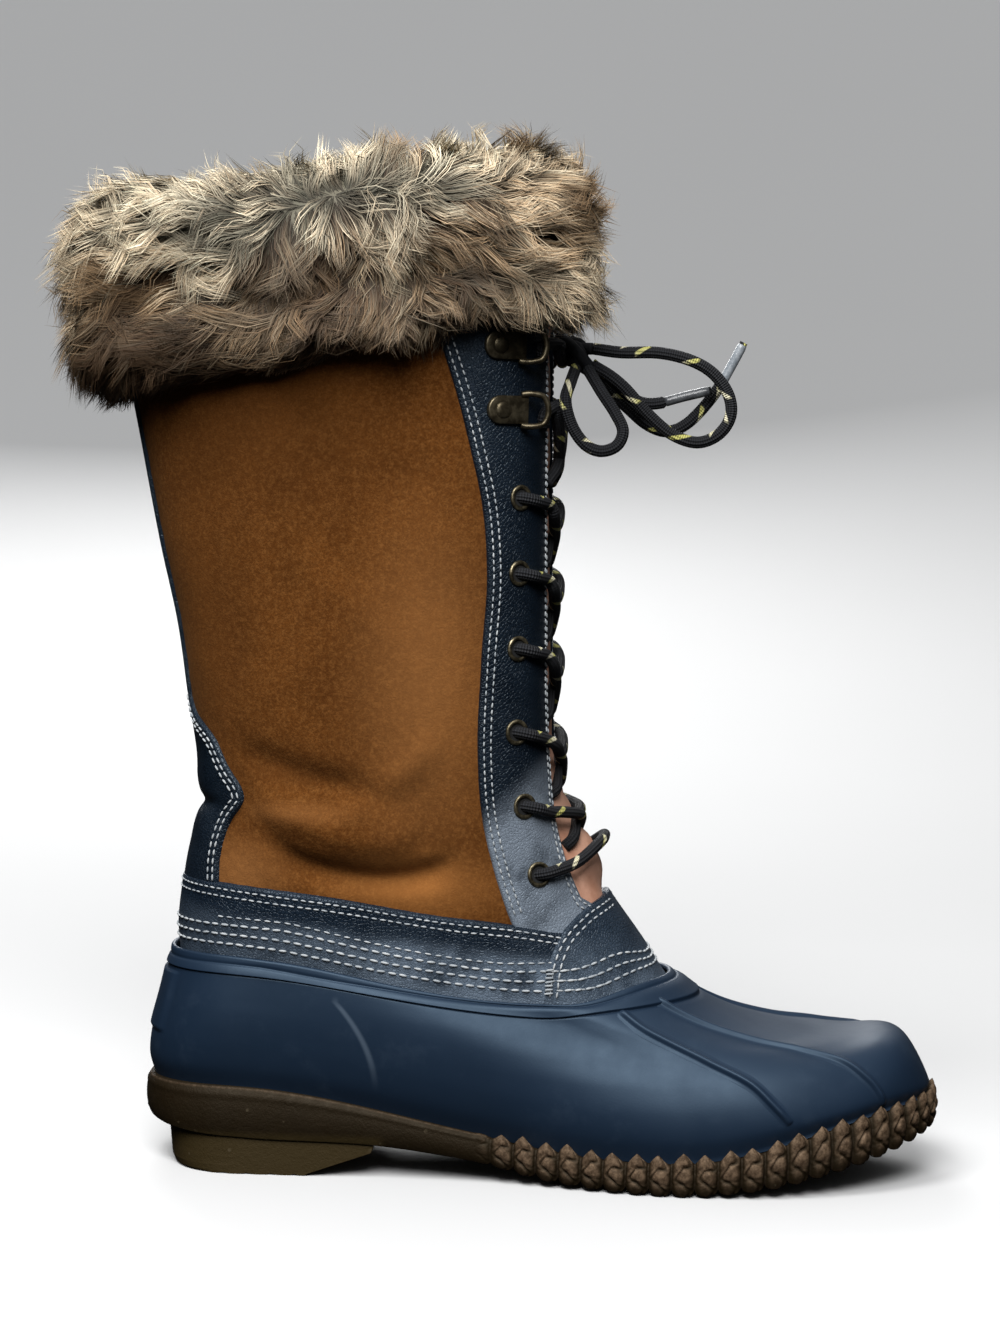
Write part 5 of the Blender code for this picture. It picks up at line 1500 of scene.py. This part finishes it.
# How the fur lies: at x, z its hairs run along flow_x, flow_z; pale and brown are shares from 0 to 1.
Lock = namedtuple("Lock", "x z flow_x flow_z pale brown")
# pale is partly the hair's own lightness; its lowest values paint shade in the partings between locks
FUR_LOCKS = tuple(Lock(*row) for row in (
    (-30, 300, -.7, -.7, .50, .5), (-26, 318, -1, -.2, .70, .3), (-14, 327, -1, .1, .80, .2),
    (-8.5, 332, -.9, .3, .75, .1), (6, 344, -.8, .5, .95, .1), (9, 334, -.95, .1, .95, .1),
    (20, 338, -.95, .2, .80, .0), (26, 327, -1, 0, .30, .0), (38.5, 337, -.9, .2, .75, .2),
    (39, 321, -.8, -.4, .15, .1), (-2, 319, -1, -.05, 1.1, .2), (-14, 311, -1, -.1, .45, .8),
    (3.4, 306, -1, .05, .28, .9), (15, 311, -1, .15, .90, .2), (30, 311, -1, 0, 1.0, .2),
    (43.5, 309, -.9, -.1, .15, .7), (-2, 297, -.9, -.3, .12, .8), (-8, 281, -.5, -.9, .08, .9),
    (3.5, 279, -.4, -.9, .08, .9), (21, 290, -.9, -.3, .06, .8), (32, 297, -1, -.05, .40, .7),
    (47.6, 330, -.3, -.6, .80, .1), (54.7, 325, 0, -1, .35, .1), (63.8, 331, .1, -1, .85, .1),
    (72, 330, .5, -.8, .85, .1), (83.3, 328, .6, -.8, .70, .2), (77.7, 322, -.7, -.5, .45, .6),
    (55, 313.7, -.2, -1, .22, .6), (64, 307, -.3, -.9, .25, .8), (89.3, 312, .3, -1, .55, .3),
    (89.5, 298, .1, -1, .32, .7), (72, 298, -.5, -.8, .20, .8), (101, 292, .2, -1, .25, .6),
    (60, 342.5, -.4, .9, .30, .0), (71.5, 348.6, -.3, 1, .85, .1), (88.7, 349, -.2, 1, .30, .0),
    (94.3, 360.4, 0, 1, .35, .7), (105.9, 351.4, .3, 1, .80, .0), (111.9, 340, .9, -.1, .30, .0),
    (100.4, 336.4, .8, -.4, .45, .1), (123, 355, .4, .9, .85, .2), (131, 363, .1, 1, .40, .6),
    (140.3, 355.4, .3, .95, .65, .3), (146, 349.8, .6, .8, .75, .4), (134.8, 338, 1, .1, .80, .5),
    (152, 343, .9, .4, .45, .8), (123.5, 326.5, .95, -.15, .60, .7), (112, 324, .8, -.4, .55, .7),
    (146.5, 324.5, 1, -.1, .75, .6), (158, 318, 1, -.2, .85, .3), (141, 310.7, .9, -.5, .38, .4),
    (118, 310, .6, -.6, .12, .7), (106.6, 307.8, .3, -.9, .32, .7), (123.9, 301, .7, -.6, .30, .5),
    (146.9, 299, .5, -.85, .75, .3),
))
# Heights that the hairs keep between, along x.
HEM_LIMIT = (
    (-36, 276), (-24, 268), (-8, 270), (10, 276), (22, 281), (44, 285), (65, 288), (90, 289),
    (100, 286), (108, 294), (120, 297), (170, 296),
)
TOP_LIMIT = (
    (-36, 336), (-26, 345), (-8, 351), (50, 353), (62, 359), (82, 367), (130, 373), (144, 368),
    (170, 345),
)
BACK_LIMIT, FRONT_LIMIT = -36.0, 163.0
SIDE_LIMITS = (-83.0, 83.5)
CREAM = np.array([0.74, 0.66, 0.49])
TAN = np.array([0.46, 0.29, 0.15])
GREY_GREEN = np.array([0.052, 0.050, 0.033])
DARK_BROWN = np.array([0.040, 0.022, 0.011])


def fur_point(u, p):
    """A point on the fur's roll: p walks its profile from the hem outward, over the top and inside."""
    profile = np.array(FUR_PROFILE, float)
    size = len(profile)
    p = np.mod(p, size)
    k = np.floor(p).astype(int)
    t = p - k
    total = np.zeros(p.shape + (3,))
    for step in (-1, 0, 1, 2):
        total += spline_weight(t - step)[..., None] * profile[np.mod(k + step, size)]
    out, height, share = total[..., 0], total[..., 1], total[..., 2]
    away = np.abs(np.mod(u, 2.0) - 1.0)
    hem = eased(away, (0.0, 1.0), HEM_RISE[::-1])
    top = eased(away, (0.0, 1.0), TOP_RISE[::-1])
    z = height + (1.0 - share) * hem + share * top
    v = level_at(u, np.minimum(z, COLLAR_HEIGHT - 0.3))
    spot = leather(u, v)
    flat = outward(leather, u, v) * np.array([1.0, 1.0, 0.0])
    wave = 1.3 * np.sin(u * 17.0 + p * 0.9) + 0.9 * np.sin(u * 31.0 - p * 1.7)
    spot = spot + unit(flat) * (out + np.where(out > 3, wave, 0.0))[..., None]
    spot[..., 2] = z + 0.8 * np.sin(u * 23.0 + p)
    return spot


def fur_flow(spots):
    """Direction (x, z), pale and brown at each spot, blended from the nearest locks."""
    table = np.array(FUR_LOCKS)
    x, z = spots[:, 0, None], spots[:, 2, None]
    distance = (x - table[:, 0]) ** 2 + (z - table[:, 1]) ** 2
    weight = 1.0 / (distance + 10.0) ** 2.6
    weight /= weight.sum(axis=1, keepdims=True)
    return weight @ table[:, 2:]


def tones(pale, brown):
    """Dark and light colour of a hair."""
    dark = GREY_GREEN * (1 - brown) + DARK_BROWN * brown
    light = CREAM * (1 - brown) + TAN * brown
    return dark, dark + (light - dark) * np.clip(pale, 0, 1.1) ** 1.4


def paint(mesh, colours):
    layer = mesh.color_attributes.new("tone", "FLOAT_COLOR", "POINT")
    layer.data.foreach_set("color", np.concatenate([colours, np.ones((len(colours), 1))], axis=1).ravel())


def make_fur_base():
    u = np.linspace(1.0 + FUR_END, 3.0 - FUR_END, 170)
    p = np.linspace(0.0, len(FUR_PROFILE), 64, endpoint=False)
    points = fur_point(np.broadcast_to(u[:, None], (170, 64)), np.broadcast_to(p[None, :], (170, 64)))
    rows, columns = points.shape[:2]
    faces = grid_faces(rows, columns, False, True)
    faces += [tuple(range(columns)), tuple(range((rows - 1) * columns, rows * columns))[::-1]]
    points = points.reshape(-1, 3)
    base = keep(add_mesh("fur_base", points, faces, HAIR), "fur_cuff")
    flow = fur_flow(points)
    paint(base.data, tones(0.25 * flow[:, 2:3], flow[:, 3:4])[1])


def fur_frame(u, p):
    """Points on the roll and their outward normals."""
    over = fur_point(u, p + 0.08) - fur_point(u, p - 0.08)
    around = fur_point(u + 0.004, p) - fur_point(u - 0.004, p)
    return fur_point(u, p), unit(np.cross(around, over))


HAIR_ROWS = np.array([0.0, 0.2, 0.45, 0.72, 1.0])
HAIR_WIDTHS = np.array([0.8, 1.0, 1.0, 0.7])


def hair_lines(spot, normal, way, reach, bend, phase):
    """Five points along each hair: it rises, lies over and waves to one side."""
    t = HAIR_ROWS[None, :, None]
    side = unit(np.cross(normal, way))
    reach = reach[:, None, None]
    line = spot[:, None] + way[:, None] * reach * t - normal[:, None] * 0.0045 * (reach * t) ** 2
    wave = np.sin(phase[:, None, None] + 4.6 * t) - np.sin(phase)[:, None, None]
    line = line + side[:, None] * bend[:, None, None] * reach * wave * t
    line[..., 2] -= 0.07 * (reach * t**2)[..., 0]
    return line


HAIR_POINTS, HAIR_FACES, HAIR_CORNERS = 9, 4, 15  # a hair is three quads and a pointed tip


def make_hairs(name, p_low, p_high, count, clumps, length, rise, seed):
    """Tufts of hair as thin ribbons: each hair closes in on the middle of its clump."""
    dice = np.random.default_rng(seed)
    low, high = 1.0 + FUR_END + 0.003, 3.0 - FUR_END - 0.003

    def lay(number, spread):
        u, p = dice.uniform(low, high, number), dice.uniform(p_low, p_high, number)
        spot, normal = fur_frame(u, p)
        flow = fur_flow(spot)
        way = np.stack([flow[:, 0], np.zeros(number), flow[:, 1]], axis=1)
        facing = np.sum(way * normal, axis=1, keepdims=True)
        way = way - normal * facing
        way = way + np.array([0.0, 0.0, -0.35]) * np.clip(facing, 0, 1)
        turn = dice.normal(0.0, spread, number)[:, None]
        way = unit(way) * np.cos(turn) + np.cross(normal, unit(way)) * np.sin(turn)
        way = unit(way + normal * (rise + 0.3 * np.clip(facing, 0, 1) + dice.normal(0.0, 0.06, (number, 1))))
        return spot, normal, flow, way

    c_spot, c_normal, _, c_way = lay(clumps, 0.55)
    c_reach = length * dice.uniform(0.7, 1.25, clumps)
    c_bend = dice.uniform(-0.32, 0.32, clumps)
    c_phase = dice.uniform(0.0, 6.28, clumps)
    c_pale = dice.normal(0.0, 0.30, clumps)
    c_line = hair_lines(c_spot, c_normal, c_way, c_reach, c_bend, c_phase)
    tree = KDTree(clumps)
    for i, spot in enumerate(c_spot):
        tree.insert(spot, i)
    tree.balance()
    spot, normal, flow, way = lay(count, 0.16)
    owner = np.array([tree.find(tuple(point))[1] for point in spot])
    way = unit(0.5 * way + 0.5 * c_way[owner])
    reach = c_reach[owner] * dice.uniform(0.65, 1.12, count)
    own = hair_lines(spot, normal, way, reach, c_bend[owner], c_phase[owner])
    shared = c_line[owner] + (spot - c_spot[owner])[:, None] * 0.25
    pull = dice.uniform(0.25, 0.92, count)[:, None, None] * HAIR_ROWS[None, :, None] ** 1.3
    line = own * (1 - pull) + shared * pull
    line = line + dice.normal(0.0, 0.8, (count, 1, 3)) * HAIR_ROWS[None, :, None] ** 2
    # hairs that pass a limit are shortened
    tip, root = line[:, -1], line[:, 0]
    slack = np.minimum(dice.exponential(3.5, count), 11.0) - 7.0
    top = np.interp(tip[:, 0], *np.array(TOP_LIMIT, float).T) + slack
    hem = np.interp(tip[:, 0], *np.array(HEM_LIMIT, float).T) - 0.6 * slack
    drop = tip[:, 2] - root[:, 2]
    room = np.where(drop > 0, top - root[:, 2], root[:, 2] - hem)
    behind = np.maximum(root[:, 0] - tip[:, 0], 0.5)
    before = np.maximum(tip[:, 0] - root[:, 0], 0.5)
    room_behind = root[:, 0] - BACK_LIMIT + slack
    room_before = FRONT_LIMIT + slack - root[:, 0]
    fits = np.minimum(room_behind / behind, room_before / before)
    shrink = np.clip(np.minimum(room / np.maximum(np.abs(drop), 0.5), fits), 0.15, 1.0)
    line = root[:, None] + (line - root[:, None]) * shrink[:, None, None]
    line[..., 1] = np.clip(line[..., 1], SIDE_LIMITS[0], SIDE_LIMITS[1])
    ahead = unit(np.gradient(line, axis=1))
    side = unit(np.cross(ahead, normal[:, None] + dice.normal(0.0, 0.35, (count, 1, 3))))
    width = dice.uniform(0.10, 0.20, count)[:, None, None] * HAIR_WIDTHS[None, :, None]
    left = line[:, :4] - side[:, :4] * width
    right = line[:, :4] + side[:, :4] * width
    verts = np.concatenate([left, right, line[:, 4:]], axis=1)
    up = unit(normal[:, None] - ahead * np.sum(ahead * normal[:, None], axis=2, keepdims=True))
    shade = unit(0.75 * normal[:, None] + 0.5 * up)
    lean = 0.45 * side[:, :4]
    shades = np.concatenate([unit(shade[:, :4] - lean), unit(shade[:, :4] + lean), shade[:, 4:]], axis=1)
    start = (np.arange(count) * HAIR_POINTS)[:, None]
    corners = np.concatenate([start + np.array([[k, 4 + k, 5 + k, 1 + k]]) for k in range(3)]
                             + [start + np.array([[3, 7, 8]])], axis=1).ravel()
    mesh = bpy.data.meshes.new(name)
    mesh.vertices.add(count * HAIR_POINTS)
    mesh.vertices.foreach_set("co", place(verts.reshape(-1, 3)).ravel())
    mesh.loops.add(len(corners))
    mesh.loops.foreach_set("vertex_index", corners)
    mesh.polygons.add(count * HAIR_FACES)
    begins = (np.arange(count) * HAIR_CORNERS)[:, None] + np.array([[0, 4, 8, 12]])
    mesh.polygons.foreach_set("loop_start", begins.ravel())
    mesh.update()
    mesh.shade_smooth()
    mesh.materials.append(HAIR)
    flow = fur_flow(line[:, 3])
    pale = 1.15 * flow[:, 2] * (1.0 + c_pale[owner] + dice.normal(0.0, 0.25, count))
    pale = np.clip(pale, 0.01, 1.1)[:, None]
    brown = np.clip(0.16 + 0.95 * flow[:, 3] + dice.normal(0.0, 0.16, count), 0.0, 1.0)[:, None]
    dark, light = tones(pale, brown)
    tip_tone = np.where(dice.uniform(0, 1, (count, 1)) < 0.13, DARK_BROWN * 1.5, light * 1.25)
    steps = (dark * 0.5, dark * 0.75 + light * 0.05, dark * 0.6 + light * 0.35, light)
    paint(mesh, np.clip(np.stack([*steps, *steps, tip_tone], axis=1), 0, 0.85).reshape(-1, 3))
    mesh.normals_split_custom_set_from_vertices(shades.reshape(-1, 3).tolist())
    keep(link_object(name, mesh))


HAIRS, CLUMPS = 18000, 700  # in each piece of the fur


def make_fur():
    make_fur_base()
    dense = 1.0
    for name, low, high, length, rise, seed in (
        ("fur_lower_roll", 0.5, 3.4, 22.0, 0.22, 3),
        ("fur_middle", 3.4, 5.8, 22.0, 0.26, 5),
        ("fur_upper_roll", 5.8, 8.4, 22.0, 0.24, 7),
        ("fur_crest", 8.4, 12.0, 16.0, 0.36, 9),
    ):
        make_hairs(name, low, high, int(HAIRS * dense), CLUMPS, length, rise, seed)


# Footbed and floor.
def finish_insole():
    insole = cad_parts["insole"]
    insole.data.materials.clear()
    insole.data.materials.append(FELT)


def make_stage():
    """A pale floor that bends up into a wall all round, so that no line shows where they meet."""
    reach, bend, height, around = 3.2, 2.4, 4.5, 96
    angles = np.linspace(0.0, 0.5 * math.pi, 33)
    profile = [(0.5, 0.0)]
    profile += [(reach - bend + bend * math.sin(a), bend - bend * math.cos(a)) for a in angles]
    profile.append((reach, height))
    turns = np.linspace(0.0, 2 * math.pi, around, endpoint=False)
    verts = [(r * math.cos(t), r * math.sin(t), z) for t in turns for r, z in profile]
    faces = grid_faces(around, len(profile), True)
    faces.append(tuple(k * len(profile) for k in range(around))[::-1])
    mesh = bpy.data.meshes.new("floor")
    mesh.from_pydata(verts, [], faces)
    mesh.shade_smooth()
    mesh.flip_normals()
    m = Nodes("floor", 0.9)
    base = m.mix(m.noise(3, 2), (0.60, 0.60, 0.60), (0.62, 0.62, 0.62))
    m.colour(m.mix(m.span(m.axes()[2], 0.0, 1.6), base, (0.95, 0.95, 0.95)))
    m.shader.inputs["Specular IOR Level"].default_value = 0.1
    mesh.materials.append(m.material)
    floor = link_object("floor", mesh)
    floor.visible_diffuse = False  # the ground throws no light back up
    floor.visible_glossy = False
    floor.visible_shadow = False  # the sky behind the wall still lights the boot


def area_light(name, location, target, size, power):
    data = bpy.data.lights.new(name, "AREA")
    data.shape = "DISK"
    data.size = size
    data.energy = power
    light = link_object(name, data)
    light.location = location
    aim(light, target)


def make_light():
    """Overcast studio light: a bright ceiling, dim sides, and a soft key from above the toe."""
    world = bpy.data.worlds.new("studio")
    sky = Tree(world, "Generated")
    x, _, z = sky.axes()
    ceiling = sky.span(z, 0.1, 0.85, 0.05, 0.90)
    dimmed = sky.span(sky.math("ABSOLUTE", x), 0.1, 0.8, 1.0, 0.12)
    background = sky.tree.nodes["Background"]
    background.inputs["Color"].default_value = (0.97, 0.985, 1.0, 1.0)
    sky.wire(sky.times(ceiling, dimmed), background.inputs["Strength"])
    bpy.context.scene.world = world
    area_light("key", (0.10, -1.25, 1.10), (0.07, 0.0, 0.16), 0.8, 29)
    area_light("fur_light", (-0.30, -0.55, 1.10), (0.03, 0.0, 0.34), 0.5, 10)
    area_light("rear", (-0.25, 1.50, 0.95), (0.05, 0.0, 0.14), 0.9, 16)
    bpy.context.scene.view_settings.view_transform = "Standard"
    bpy.context.scene.view_settings.look = "None"


make_band()
make_blocks()
make_sole_floor()
make_shell()
make_ribs()
make_suede()
make_eyestays()
make_counter()
make_ankle_band()
make_throat_piece()
make_tongue()
keep(add_mesh("stitches", *joined(stitches), THREAD))
make_eyelets()
make_hooks()
make_crossings()
make_fur()
finish_insole()
make_stage()
make_light()
